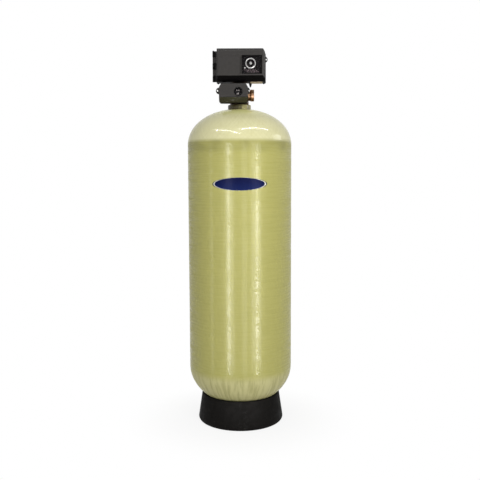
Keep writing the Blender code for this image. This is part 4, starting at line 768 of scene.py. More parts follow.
@dataclass(frozen=True)
class WoundResin(Finish):
    """Wound glass fibre under clear resin, with paler domes.

    Attributes:
        strand: The colour between the strands.
        dome: The colour of the domes.
        dome_strand: The colour between the strands of the domes.
        pole: The colour of the bottom dome.
        streak: The colour of its darker streaks.
        collar: The colour of the dome round the neck: yellower than the rest, and paler as painted light
            that offsets the valve's shadow there.
        neck: The colour of the neck ring.
        neck_painted_shade: The colour of the neck ring's left side, a painted shadow of the valve box above
            it.
        pole_height: The height where the dome has turned to the colour round the neck.
        low: The height of the lower tangent line.
        high: The height of the upper tangent line.
        band: How far below the hoops' top the darker hoops end.
        coat: How strong the clear coat is.
        coat_roughness: How dull the clear coat is.
        coat_ior: How strongly the clear coat bends light.
        coat_fade: The slants between which the clear coat fades towards the outline.
        neck_turn: Where across the neck ring its painted shadow ends.
    """

    strand: Colour = (0.375, 0.355, 0.105)
    dome: Colour = (0.78, 0.75, 0.465)
    dome_strand: Colour = (0.58, 0.55, 0.27)
    pole: Colour = (0.54, 0.51, 0.24)
    streak: Colour = (0.37, 0.345, 0.135)
    collar: Colour = (0.82, 0.80, 0.33)
    neck: Colour = (0.32, 0.295, 0.125)
    neck_painted_shade: Colour = (0.055, 0.045, 0.016)
    pole_height: float = 1.872
    low: float = 0.328
    high: float = 1.691
    band: float = 0.085
    coat: float = 0.26
    coat_roughness: float = 0.10
    coat_ior: float = 1.38
    coat_fade: Point = (0.42, 0.78)
    neck_turn: Point = (0.020, 0.046)

    def paint(self, graph: Graph, shader: Node, place: Socket) -> None:
        """Give the shader its strands, its clear coat, its winding ridges, painted light round the neck and
        a painted shadow on the neck ring.
        """
        wound = graph.use(EFFECTS.winding(self.low, self.high), {"Place": place})
        side = graph.blend(wound.outputs["Tone"], self.strand, self.colour)
        cap = graph.blend(wound.outputs["Tone"], self.dome_strand, self.dome)
        height = graph.add("ShaderNodeSeparateXYZ", {0: place}).outputs[2]
        top = graph.spread(height, self.high - self.band, self.high - self.band * 0.45)
        patches = graph.spread(graph.noise(place, 5.0, 2.0), 0.35, 0.6)
        under = graph.math("MULTIPLY", top, graph.math("ADD", graph.math("MULTIPLY", patches, 0.55), 0.25))
        side = graph.blend(under, side, self.darker(0.45))
        around = graph.stretched(graph.around(place), (19.0, 19.0, 1.0))
        streaks = graph.offset(around, graph.stretched(place, (1.0, 1.0, 9.0)))
        streaks = graph.noise(streaks, 1.0, 3.0, 0.6)
        below = graph.blend(graph.spread(streaks, 0.28, 0.60), self.streak, self.pole)
        cap = graph.blend(graph.spread(height, self.low, self.high, 0.85, 0.0), cap, below)
        # Partly painted light: the dome round the neck is yellower, and paler to offset the shadow of the
        # valve above it.
        cap = graph.blend(graph.spread(height, self.pole_height - 0.05, self.pole_height), cap, self.collar)
        colour = graph.blend(wound.outputs["Dome"], side, cap)
        # Painted shadow of the valve box: the neck ring is darker on its left, with noise that breaks the
        # shadow's edge and adds dark patches.
        neck_shade_noise = graph.noise(graph.stretched(place, (55.0, 55.0, 5.0)), 1.0, 2.0, 0.6)
        side_on = graph.add("ShaderNodeSeparateXYZ", {0: place}).outputs[0]
        neck_shade_edge = graph.math("ADD", side_on, graph.math("MULTIPLY", neck_shade_noise, 0.05))
        neck = graph.blend(graph.spread(neck_shade_edge, *self.neck_turn), self.neck_painted_shade, self.neck)
        neck = graph.blend(graph.spread(neck_shade_noise, 0.38, 0.54, 0.45, 0.0), neck, self.neck_painted_shade)
        colour = graph.blend(graph.spread(height, self.pole_height, self.pole_height + 0.004), colour, neck)
        calm = wound.outputs["Break"]
        rough = graph.spread(calm, 0.0, 1.0, self.roughness * 1.7, self.roughness * 0.45)
        broken = graph.spread(calm, 0.0, 1.0, 0.0, self.coat * 2.0)
        facing = graph.add("ShaderNodeLayerWeight", {"Blend": 0.5}).outputs["Facing"]
        coat = graph.math("MULTIPLY", broken, graph.spread(facing, *self.coat_fade, 1.0, 0.0))
        graph.feed(shader, {
            "Base Color": colour, "Roughness": rough, "Coat Weight": coat,
            "Coat Roughness": self.coat_roughness, "Coat IOR": self.coat_ior})
        self.bump(graph, shader, wound.outputs["Height"], self.depth)


@dataclass(frozen=True)
class CastBrass(Finish):
    """Sand-cast brass with brown tarnish.

    Attributes:
        tarnish: The colour of its tarnished patches.
    """

    tarnish: Colour = (0.20, 0.13, 0.06)

    def paint(self, graph: Graph, shader: Node, place: Socket) -> None:
        """Give the shader its cast grain and its tarnish."""
        grain = graph.use(EFFECTS.grain(), {"Place": place, "Scale": self.grain})
        patches = graph.spread(graph.noise(place, 26.0, 5.0, 0.62), 0.42, 0.66)
        bright = graph.blend(grain.outputs["Tone"], self.darker(self.shade), self.colour)
        colour = graph.blend(graph.math("MULTIPLY", patches, 0.75), bright, self.tarnish)
        rough = graph.math("ADD", graph.math("MULTIPLY", patches, 0.2), self.roughness)
        graph.feed(shader, {"Base Color": colour, "Roughness": rough})
        self.bump(graph, shader, grain.outputs["Height"], self.depth)


@dataclass(frozen=True)
class TurnedMetal(Finish):
    """Machined metal with fine tool marks along one direction.

    Attributes:
        marks: How many marks there are to a metre in X, Y and Z.
    """

    marks: Place = (3000.0, 60.0, 3000.0)

    def paint(self, graph: Graph, shader: Node, place: Socket) -> None:
        """Give the shader its tool marks."""
        marks = graph.noise(graph.stretched(place, self.marks), 1.0, 2.0, 0.6)
        colour = graph.blend(graph.spread(marks, 0.35, 0.65), self.darker(self.shade), self.colour)
        rough = graph.spread(marks, 0.35, 0.65, self.roughness * 1.2, self.roughness * 0.85)
        graph.feed(shader, {"Base Color": colour, "Roughness": rough})
        self.bump(graph, shader, marks, self.depth)


@dataclass(frozen=True)
class LooseStone(Finish):
    """Loose grains of stone, each a little different.

    Attributes:
        grains: How many grains there are to a metre.
        light: The colour of the palest grains.
    """

    grains: float = 160.0
    light: Colour = (0.85, 0.84, 0.80)

    def paint(self, graph: Graph, shader: Node, place: Socket) -> None:
        """Give the shader its grains, with painted shade in the gaps between them."""
        cells = graph.add("ShaderNodeTexVoronoi", {"Vector": place, "Scale": self.grains})
        tone = graph.add("ShaderNodeSeparateColor", {0: cells.outputs["Color"]}).outputs[0]
        colour = graph.blend(tone, self.colour, self.light)
        # Painted shade: darker in the gaps between grains.
        gap_shade = graph.spread(cells.outputs["Distance"], 0.45, 0.8)
        colour = graph.blend(gap_shade, colour, self.darker(0.6))
        graph.feed(shader, {"Base Color": colour, "Roughness": self.roughness})
        self.bump(graph, shader, graph.math("SUBTRACT", 1.0, cells.outputs["Distance"]), self.depth)


@dataclass(frozen=True)
class ClearPlastic(Finish):
    """Clear moulded plastic with a faint haze.

    Attributes:
        cover: How much of the light it stops.
    """

    cover: float = 0.10

    def paint(self, graph: Graph, shader: Node, place: Socket) -> None:
        """Give the shader its haze."""
        haze = graph.spread(graph.noise(place, 30.0, 4.0, 0.6), 0.3, 0.7)
        rough = graph.math("ADD", graph.math("MULTIPLY", haze, 0.05), self.roughness)
        colour = graph.blend(haze, self.darker(0.1), self.colour)
        alpha = graph.math("ADD", graph.math("MULTIPLY", haze, 0.03), self.cover)
        graph.feed(shader, {"Base Color": colour, "Roughness": rough, "Alpha": alpha})


@dataclass(frozen=True)
class LabelFilm(Finish):
    """Printed film that grows lighter towards its lower edge.

    Attributes:
        lower: The colour of its lower part.
        middle: The height where the colour changes.
        half: Half of the height over which it changes.
    """

    lower: Colour = (0.006, 0.013, 0.078)
    middle: float = 1.444
    half: float = 0.035

    def paint(self, graph: Graph, shader: Node, place: Socket) -> None:
        """Give the shader its printed colours."""
        height = graph.add("ShaderNodeSeparateXYZ", {0: place}).outputs[2]
        share = graph.spread(height, self.middle - self.half, self.middle + self.half)
        print_dots = graph.spread(graph.noise(place, 2600.0, 1.0), 0.4, 0.6)
        colour = graph.blend(share, self.lower, self.colour)
        colour = graph.blend(graph.math("MULTIPLY", print_dots, 0.12), colour, self.lower)
        graph.feed(shader, {"Base Color": colour, "Roughness": self.roughness})
        self.bump(graph, shader, print_dots, self.depth)


WOUND = WoundResin(
    "wound resin", "wound_resin", (0.475, 0.450, 0.140), roughness=0.30, depth=0.0005, gloss=0.13)
BOOT_BLACK = Finish(
    "moulded boot black", "boot_black", (0.0052, 0.0046, 0.0041), 0.6, grain=700.0, depth=0.00006,
    scuffed=0.9, gloss=0.04)
NAVY_FILM = LabelFilm(
    "navy label film", "label_navy", (0.0025, 0.0045, 0.040), 0.30, depth=0.00001, gloss=0.03)
SILVER_FILM = TurnedMetal(
    "silver label rim", "label_navy", (0.44, 0.43, 0.37), 0.5, 0.3, depth=0.00001, gloss=0.15,
    marks=(900.0, 900.0, 900.0))
EDGE_FILM = Finish("label edge", "label_navy", (0.05, 0.05, 0.045), 0.5, depth=0.00001, gloss=0.1)
PIPE_WHITE = Finish("white pipe plastic", "pipe_white", (0.75, 0.75, 0.72), 0.42, depth=0.00002)
GRAVEL = LooseStone(
    "washed gravel", "gravel_grey", (0.22, 0.20, 0.17), 0.9, depth=0.004, grains=150.0,
    light=(0.42, 0.39, 0.34))
CALCITE = LooseStone(
    "crushed calcite", "calcite_white", (0.72, 0.70, 0.65), 0.9, depth=0.0015, grains=420.0)
BRASS = CastBrass(
    "cast brass", "valve_brass", (0.37, 0.205, 0.125), 0.33, 1.0, grain=520.0, depth=0.00022, shade=0.3)
# Painted shade: a much darker copy of the cast brass for the neck adapter, which sits in the valve's
# shadow; its patches are tarnish.
SHADED_BRASS = CastBrass(
    "tarnished brass with painted shade", "valve_brass", (0.075, 0.045, 0.025), 0.5, 1.0, grain=520.0, depth=0.0002, shade=0.3,
    tarnish=(0.030, 0.020, 0.012))
MACHINED_BRASS = TurnedMetal(
    "machined brass", "valve_brass", (0.62, 0.42, 0.20), 0.27, 1.0, depth=0.00003, shade=0.2,
    marks=(2200.0, 60.0, 2200.0))
RUBBER = Finish("seal rubber", "seal_rubber", (0.010, 0.010, 0.010), 0.6, grain=1200.0, gloss=0.3)
# Painted reflection: a pale tan sheet under the upper box, where its underside mirrors the pale
# surroundings.
TAN_REFLECTION_STRIP = Finish("tan painted reflection", "seal_rubber", (0.66, 0.54, 0.40), 0.8, grain=700.0, gloss=0.2)
STEEL = TurnedMetal("turned steel", "steel", (0.58, 0.58, 0.59), 0.25, 1.0, depth=0.00002, shade=0.2)
BRIGHT_ZINC = TurnedMetal(
    "bright zinc", "steel", (0.90, 0.90, 0.89), 0.45, 1.0, depth=0.00002, shade=0.06)
HOUSING = Finish(
    "satin housing black", "housing_black", (0.0036, 0.0032, 0.0030), 0.40, grain=1100.0,
    depth=0.00005, scuffed=0.25, gloss=0.09)
CHARCOAL = Finish(
    "charcoal cover plastic", "cover_charcoal", (0.034, 0.031, 0.029), 0.42, grain=1300.0,
    depth=0.00005, shade=0.16, scuffed=0.3, gloss=0.14)
# Painted shade: a near-black copy of the cover plastic for the covers' down-facing faces.
UNDERSIDE_SHADE = Finish(
    "cover underside painted shade", "cover_charcoal", (0.0014, 0.0011, 0.0012), 0.5, grain=1300.0, depth=0.00004,
    scuffed=0.4, gloss=0.03)
# Painted shade: a darker copy of the cover plastic for the lower cover's down-facing slope, glossier so
# that it mirrors the tank.
SHADED_GLOSSY_SLOPE = Finish(
    "glossy cover slope with painted shade", "cover_charcoal", (0.0100, 0.0085, 0.0065), 0.16, grain=1300.0,
    depth=0.000004, shade=0.2, gloss=0.75)
CLEAR = ClearPlastic("clear window plastic", "clear_pane", (0.02, 0.02, 0.02), 0.04, gloss=0.12)
ACETAL = Finish("natural acetal", "gear_white", (0.70, 0.69, 0.65), 0.4, depth=0.00003)
ZINC = TurnedMetal(
    "zinc plate", "motor_zinc", (0.46, 0.46, 0.47), 0.36, 1.0, depth=0.00002, shade=0.25,
    marks=(160.0, 160.0, 160.0))
DARK_PLASTIC = Finish(
    "dark timer plastic", "dial_dark", (0.0062, 0.0045, 0.0056), 0.36, grain=1500.0, depth=0.00002,
    gloss=0.08)
BRIGHT_RING = TurnedMetal(
    "bright turned ring", "dial_silver", (0.74, 0.73, 0.72), 0.3, 1.0, depth=0.00001, shade=0.1)
BUTTON_PLATE = TurnedMetal(
    "pale button", "button_bright", (0.95, 0.94, 0.92), 0.35, depth=0.00001, shade=0.03)
FACE_PRINT = Finish("pink print", "dial_silver", (0.34, 0.25, 0.27), 0.5, depth=0.00001)
PALE_PRINT = Finish("pale print", "dial_silver", (0.62, 0.56, 0.54), 0.5, depth=0.00001)


def dress(piece: Piece, finish: Finish, body: str, *nodes: str) -> Piece:
    """Finish a piece, put it on its body and report it.

    Args:
        piece: The piece.
        finish: Its finish.
        body: The body that it moves with.
        *nodes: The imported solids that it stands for.

    Returns:
        The piece.
    """
    piece.data.materials.clear()
    piece.data.materials.append(finish.material())
    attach(piece, body)
    if nodes:
        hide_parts(*nodes)
    LOG.info("%s: %d faces, %s, moves with %s", piece.name, len(piece.data.polygons), finish.name, body)
    return piece


def refinish(node: str, finish: Finish) -> None:
    """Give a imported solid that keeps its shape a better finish.

    Args:
        node: The solid's name.
        finish: Its finish.
    """
    solid = frame["nodes"][node]
    solid.data.materials.clear()
    solid.data.materials.append(finish.material())
    LOG.info("%s: packed shape, %s", node, finish.name)


def finish_facing(
        piece: Piece, finish: Finish, toward: Place = (0.0, 0.0, -1.0), least: float = 0.3) -> None:
    """Give the faces of a piece that look one way another finish.

    Args:
        piece: The piece.
        finish: The other finish.
        toward: The way they look.
        least: How much they look that way at least, where 1 is straight.
    """
    piece.data.materials.append(finish.material())
    way = Vector(toward).normalized()
    for face in piece.data.polygons:
        if face.normal.dot(way) > least:
            face.material_index = len(piece.data.materials) - 1


def joint_place(name: str) -> Vector:
    """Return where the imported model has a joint's axis."""
    joints = {joint["name"]: joint for joint in frame["record"]["behaviour"]["joints"]}
    return Vector(joints[name]["pos_m"])


def oval_plate(outer: Point, thickness: float, hole: Point | None = None) -> Solid:
    """Return a flat oval plate, with an oval hole or none.

    Args:
        outer: Half of its width and half of its height.
        thickness: How thick it is.
        hole: Half of the hole's width and height, or None for no hole.

    Returns:
        The solid, drawn in X and Y with its back at Z = 0.
    """
    steps = 128
    solid = bmesh.new()
    shaped = Matrix.Diagonal((*outer, 1.0, 1.0))
    bmesh.ops.create_circle(solid, segments=steps, radius=1.0, cap_ends=not hole, matrix=shaped)
    if hole:
        shaped = Matrix.Diagonal((*hole, 1.0, 1.0))
        bmesh.ops.create_circle(solid, segments=steps, radius=1.0, matrix=shaped)
        bmesh.ops.bridge_loops(solid, edges=solid.edges[:])
    thicken(solid, solid.faces[:], thickness)
    bmesh.ops.recalc_face_normals(solid, faces=solid.faces)
    return solid


# Sub-assemblies


@dataclass
class Tank:
    """Wound pressure tank with its oval label.

    Attributes:
        radius: Outer radius of the side.
        wall: Thickness of the wall.
        low: Height of the lower tangent line.
        high: Height of the upper tangent line.
        bottom_depth: Depth of the bottom dome.
        top_height: Height of the top dome.
        top_fullness: How square the top dome is.
        bottom_fullness: How square the bottom dome is.
        neck_radius: Radius of the neck ring.
        neck_top: Height of the neck ring's top.
        neck_round: Rounding of the neck ring.
        opening: Radius of the threaded opening.
        steps: Faces round the tank.
        dome_steps: Stretches along a dome.
        label: Half of the label's width and height.
        navy: Half of the navy oval's width and height.
        silver: Half of the silver oval's, outside which the edge is dark.
        label_film: Thickness of the label.
        label_slices: Upright slices that let the label bend.
    """

    radius: float = field(default_factory=lambda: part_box("tank_shell")[1].x)
    wall: float = 0.011
    low: float = 0.344
    high: float = 1.6705
    bottom_depth: float = 0.242
    top_height: float = 0.213
    top_fullness: float = 2.08
    bottom_fullness: float = 2.0
    neck_radius: float = 0.068
    neck_top: float = field(default_factory=lambda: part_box("tank_shell")[1].z)
    neck_round: float = 0.004
    opening: float = 0.0508
    steps: int = 176
    dome_steps: int = 40
    label: Point = (0.1540, 0.0374)
    navy: Point = (0.1415, 0.0362)
    silver: Point = (0.1485, 0.0369)
    label_film: float = 0.0006
    label_slices: int = 48

    def build(self) -> None:
        """Build the shell and the label."""
        self.shell()
        self.badge()

    def shell(self) -> None:
        """Build the wound shell, with its neck ring and its inside."""
        bottom = dome(self.radius, self.bottom_depth, self.bottom_fullness, 0.0, self.dome_steps)
        start = self.neck_radius + self.neck_round
        top = dome(self.radius, self.top_height, self.top_fullness, start, self.dome_steps)
        share = (self.neck_radius / self.radius) ** self.top_fullness
        root = self.high + self.top_height * (1.0 - share) ** (1.0 / self.top_fullness)
        profile = [(r, self.low - rise) for r, rise in bottom]
        profile += [(r, self.high + rise) for r, rise in reversed(top)]
        neck = [profile[-1], (self.neck_radius, root), (self.neck_radius, self.neck_top)]
        neck += [(self.opening, self.neck_top), (self.opening, root)]
        profile += fillet(neck, self.neck_round, 4)[1:]
        inside = self.radius - self.wall
        few = self.dome_steps // 4
        inner_top = dome(inside, self.top_height - self.wall, self.top_fullness, self.opening, few)
        inner_bottom = dome(inside, self.bottom_depth - self.wall, self.bottom_fullness, 0.0, few)
        profile += [(r, self.high + rise) for r, rise in inner_top]
        profile += [(r, self.low - rise) for r, rise in reversed(inner_bottom)]
        dress(shape("wound_shell", spun(profile, self.steps)), WOUND, "filter", "tank_shell")

    def badge(self) -> None:
        """Build the label: its navy film, its silver ring and its dark edge."""
        film = self.label_film
        base = self.bent(oval_plate(self.label, film))
        dress(shape("label_film", base), NAVY_FILM, "filter", "front_label")
        ring = self.bent(oval_plate(self.silver, film + SEAT, self.navy))
        dress(shape("label_ring", ring), SILVER_FILM, "filter")
        edge = self.bent(oval_plate(self.label, film + SEAT / 2, self.silver))
        dress(shape("label_edge", edge), EDGE_FILM, "filter")

    def bent(self, plate: Solid) -> Solid:
        """Bend a flat plate round the front of the shell.

        Args:
            plate: The plate, drawn in X and Y with its back at Z = 0.

        Returns:
            The bent plate, in its place.
        """
        middle = sum(corner.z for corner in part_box("front_label")) / 2
        moved(plate, across(Axis.Y, (0.0, 0.0, middle)))
        for number in range(1, self.label_slices):
            spot = self.label[0] * (2 * number / self.label_slices - 1)
            sliced(plate, (spot, 0, 0), (1, 0, 0), clear=False)
        for vert in plate.verts:
            radius = self.radius + SEAT - vert.co.y
            vert.co.y = -math.sqrt(radius**2 - vert.co.x**2)
        bmesh.ops.recalc_face_normals(plate, faces=plate.faces)
        return plate


@dataclass
class Boot:
    """Moulded boot that the bottom dome stands in.

    Attributes:
        foot: Radius of its foot.
        height: Height of its rim.
        flare: How much wider its foot is than its rim.
        wall: Thickness of its wall.
        edge: Rounding of its rim.
        foot_round: Rounding of its foot.
        foot_width: Width of the foot with its rounding.
        floor: Thickness of the foot.
        seat_depth: Height of the seat under the rim.
        seat_wall: Thickness of the seat.
        ribs: Number of ribs inside.
        rib_wall: Thickness of a rib.
        rib_reach: How far a rib reaches inwards.
        steps: Faces round the boot.
    """

    foot: float = field(default_factory=lambda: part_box("tank_boot")[1].x)
    height: float = field(default_factory=lambda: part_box("tank_boot")[1].z)
    flare: float = 0.022
    wall: float = 0.009
    edge: float = 0.003
    foot_round: float = 0.024
    foot_width: float = 0.046
    floor: float = 0.012
    seat_depth: float = 0.022
    seat_wall: float = 0.008
    ribs: int = 8
    rib_wall: float = 0.006
    rib_reach: float = 0.022
    steps: int = 160

    def build(self, tank: Tank) -> None:
        """Build the boot round a tank's bottom dome.

        Args:
            tank: The tank that stands in the boot.
        """
        rim = self.foot - self.flare
        outline = dome(tank.radius, tank.bottom_depth, tank.bottom_fullness, 0.0, 4 * tank.dome_steps)
        low = self.height - self.seat_depth
        seat = [(r + 2 * SEAT, tank.low - rise) for r, rise in outline]
        seat = [(r, height) for r, height in seat if low < height < self.height]
        under = low - self.seat_wall
        wall_top, wall_foot = rim - self.wall, self.foot - self.wall
        profile = [(seat[-1][0], self.height), (rim - self.edge, self.height)]
        profile += [(rim, self.height - self.edge)]
        middle = (self.foot - self.foot_round, self.foot_round)
        profile += arc(middle, self.foot_round, self.foot_round, 0, -90, 8)
        profile += [(self.foot - self.foot_width, 0.0), (self.foot - self.foot_width, self.floor)]
        profile += [(wall_foot, self.floor), (wall_top, under), (seat[0][0], under)]
        solid = spun(profile + seat, self.steps, closed=True)
        bite = self.seat_wall / 2
        inner = max(seat[0][0], wall_top - self.rib_reach)
        rib = [(inner, under + bite), (wall_top + bite, under + bite)]
        rib += [(wall_foot + bite, self.floor - bite), (wall_foot - self.rib_reach / 2, self.floor - bite)]
        for number in range(self.ribs):
            heading = 2 * math.pi * (number + 0.5) / self.ribs
            place = Matrix.Rotation(heading, 4, "Z") @ across(Axis.Y, (0, 0, 0))
            solid = joined(solid, moved(slab(rib, self.rib_wall, self.edge / 4), place))
        dress(shape("moulded_boot", solid), BOOT_BLACK, "filter", "tank_boot")


@dataclass
class Inside:
    """Finishes of what the closed tank holds."""

    laterals: int = 8

    def build(self) -> None:
        """Finish the riser, the distributor and the media."""
        for node in ("riser_tube", "upper_diffuser", "distributor_hub"):
            refinish(node, PIPE_WHITE)
        for number in range(self.laterals):
            refinish(f"lateral_{number + 1}", PIPE_WHITE)
        refinish("gravel_bed", GRAVEL)
        refinish("calcite_bed", CALCITE)


@dataclass
class Valve:
    """Cast brass valve with its adapter, ports and pistons.

    Attributes:
        upper: Height of the upper piston's axis.
        lower: Height of the lower piston's axis.
        base_radius: Radius of the base flange.
        base_height: Height of the base flange.
        column: Radius of the column.
        neck: Radius of the column's upper stretch.
        shoulder: How far below the upper axis the column steps in.
        round: Rounding of cast corners.
        port_drop: How far the rear ports lie below the upper axis.
        port_across: How far each rear port lies from the middle.
        port_radius: Outer radius of the rear ports.
        collar: How much larger a port's collar is.
        collar_width: Length of a port's collar.
        socket: Radius of a port's thread.
        rear_depth: Depth of the rear sockets.
        drain_depth: Depth of the drain socket.
        drain_drop: How far the drain port lies below the lower axis.
        drain_radius: Outer radius of the drain port.
        thread: Pitch of the threads.
        adapter_lip: How much wider the adapter's flange is than its stem.
        adapter_wall: Width of the adapter's ring.
        adapter_flange: Height of the adapter's flange.
        cylinders: Each piston cylinder's outer radius and rear end along Y.
        lip: How much wider a cylinder's front flange is.
        flange: Thickness of that flange.
        web_out: How far the web under the drain reaches out.
        web_thick: Thickness of the web.
        apart: Turn in degrees between the facets of two solids, so that none of them coincide.
    """

    upper: float = field(default_factory=lambda: joint_place("upper_gear_turn").z)
    lower: float = field(default_factory=lambda: joint_place("lower_gear_turn").z)
    base_radius: float = 0.0545
    base_height: float = 0.009
    column: float = 0.045
    neck: float = 0.0335
    shoulder: float = 0.0925
    round: float = 0.004
    port_drop: float = 0.033
    port_across: float = 0.044
    port_radius: float = 0.031
    collar: float = 0.003
    collar_width: float = 0.020
    socket: float = 0.0245
    rear_depth: float = 0.042
    drain_depth: float = 0.028
    drain_drop: float = 0.008
    drain_radius: float = 0.0315
    thread: float = 0.0022
    adapter_lip: float = 0.0045
    adapter_wall: float = 0.015
    adapter_flange: float = 0.017
    cylinders: dict[str, Point] = field(
        default_factory=lambda: {"lower": (0.037, 0.0416), "upper": (0.042, 0.0641)})
    lip: float = 0.007
    flange: float = 0.009
    web_out: float = 0.063
    web_thick: float = 0.014
    apart: float = 0.7

    def build(self) -> None:
        """Build the adapter and the casting, and finish the pieces in its bores."""
        self.adapter()
        self.casting()
        for stage in ("upper", "lower"):
            refinish(f"{stage}_end_plug", MACHINED_BRASS)
            refinish(f"{stage}_seal_cage", ACETAL)
            refinish(f"{stage}_piston", STEEL)
            refinish(f"{stage}_piston_rod", STEEL)
        refinish("neck_seal_ring", RUBBER)

    def adapter(self) -> None:
        """Build the adapter that screws into the neck."""
        low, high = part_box("tank_adapter")
        flange, stem, bore = high.x, high.x - self.adapter_lip, high.x - self.adapter_wall
        under = high.z - self.adapter_flange
        profile = [(bore, low.z), (stem, low.z), (stem, under), (flange, under), (flange, high.z)]
        profile += [(bore, high.z)]
        ring = rounded_loop(profile, 0.0015)
        # Painted shade: the adapter gets the darker copy of the brass.
        dress(shape("neck_adapter", spun(ring, 96, closed=True)), SHADED_BRASS, "filter", "tank_adapter")

    def port(self, start: float, reach: float, radius: float, depth: float) -> Solid:
        """Return a round port with a collar and a threaded socket in its end.

        Args:
            start: Where the port starts inside the casting.
            reach: Where its face is.
            radius: Its outer radius.
            depth: How deep its socket is.

        Returns:
            The solid, along Z.
        """
        wide = radius + self.collar
        shoulder = reach - self.collar_width
        outside = [(0.0, start), (radius, start), (radius, shoulder - self.collar), (wide, shoulder)]
        outside += [(wide, reach), (self.socket + self.collar / 2, reach)]
        profile = fillet(outside, 0.0012)[:-1] + [(self.socket + self.collar / 2, reach)]
        turns = int((depth - 3 * self.thread) / self.thread)
        for turn in range(turns):
            height = reach - self.collar / 2 - turn * self.thread
            profile += [(self.socket, height), (self.socket - 0.001, height - self.thread / 2)]
        profile += [(self.socket - 0.0015, reach - depth), (0.0, reach - depth)]
        return spun(profile, 72)

    def cylinder(self, radius: float, front: float, rear: float) -> Solid:
        """Return a piston cylinder with its front flange and its dished rear end, without its bore.

        Args:
            radius: Its outer radius.
            front: Where its flange's face is along Y.
            rear: Where its rear end is along Y.

        Returns:
            The solid, along Z.
        """
        lip, step = radius + self.lip, front + self.flange
        profile = [(0.0, front), (lip, front), (lip, step), (radius, step)]
        profile += [(radius, rear - self.round), (radius - self.round, rear)]
        profile += [(radius * 0.62, rear), (radius * 0.56, rear + SEAT), (0.0, rear + SEAT)]
        return spun(fillet(profile, 0.0025), 72)

    def bore(self, stage: str) -> Solid:
        """Return the room that a stage's end plug, seal cage and piston sit in.

        Args:
            stage: "upper" or "lower".

        Returns:
            The solid, along Z.
        """
        low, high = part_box(f"{stage}_end_plug")
        end = max(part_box(f"{stage}_piston")[1].y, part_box(f"{stage}_seal_cage")[1].y) + 0.001
        return rod((high.x - low.x) / 2 + SEAT, low.y - PROBE, end, 72)

    def casting(self) -> None:
        """Build the brass casting: column, cylinders, ports, the web under the drain and the bores."""
        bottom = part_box("tank_adapter")[1].z
        step = self.upper - self.shoulder
        flange = bottom + self.base_height
        profile = [(0.0, bottom), (self.base_radius, bottom), (self.base_radius, flange)]
        profile += [(self.column, flange), (self.column, step), (self.neck, step)]
        profile += [(self.neck, self.upper), (0.0, self.upper)]
        piece = shape("valve_casting", spun(fillet(profile, self.round, 4), 96))
        places, solids = {}, []
        for stage, (radius, rear) in self.cylinders.items():
            low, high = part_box(f"{stage}_end_plug")
            places[stage] = at(Axis.Y, ((low.x + high.x) / 2, 0.0, (low.z + high.z) / 2))
            solids.append((self.cylinder(radius, low.y, rear), places[stage], Carve.FUSE))
        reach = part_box("valve_body")[1]
        for side in Side:
            port = self.port(0.0, reach.y, self.port_radius, self.rear_depth)
            centre = (side.value * self.port_across, 0.0, self.upper - self.port_drop)
            solids.append((port, at(Axis.Y, centre), Carve.FUSE))
        drain = self.port(0.0, reach.x, self.drain_radius, self.drain_depth)
        height = self.lower - self.drain_drop
        solids.append((drain, at(Axis.X, (0.0, 0.0, height)), Carve.FUSE))
        foot = bottom + self.round
        web = [(0.02, foot), (self.base_radius, foot), (self.web_out, bottom + 0.010)]
        web += [(self.web_out, height), (0.02, height)]
        solids += [(self.bore(stage), places[stage], Carve.CUT) for stage in places]
        for number, (solid, place, how) in enumerate(solids, 1):
            turn = Matrix.Rotation(math.radians(self.apart * number), 4, "Z")
            carve(piece, moved(solid, place @ turn), how)
        carve(piece, moved(slab(web, self.web_thick, 0.0015), across(Axis.Y, (0, 0, 0))), Carve.FUSE)
        smoothed(piece)
        dress(piece, BRASS, "filter", "valve_body")


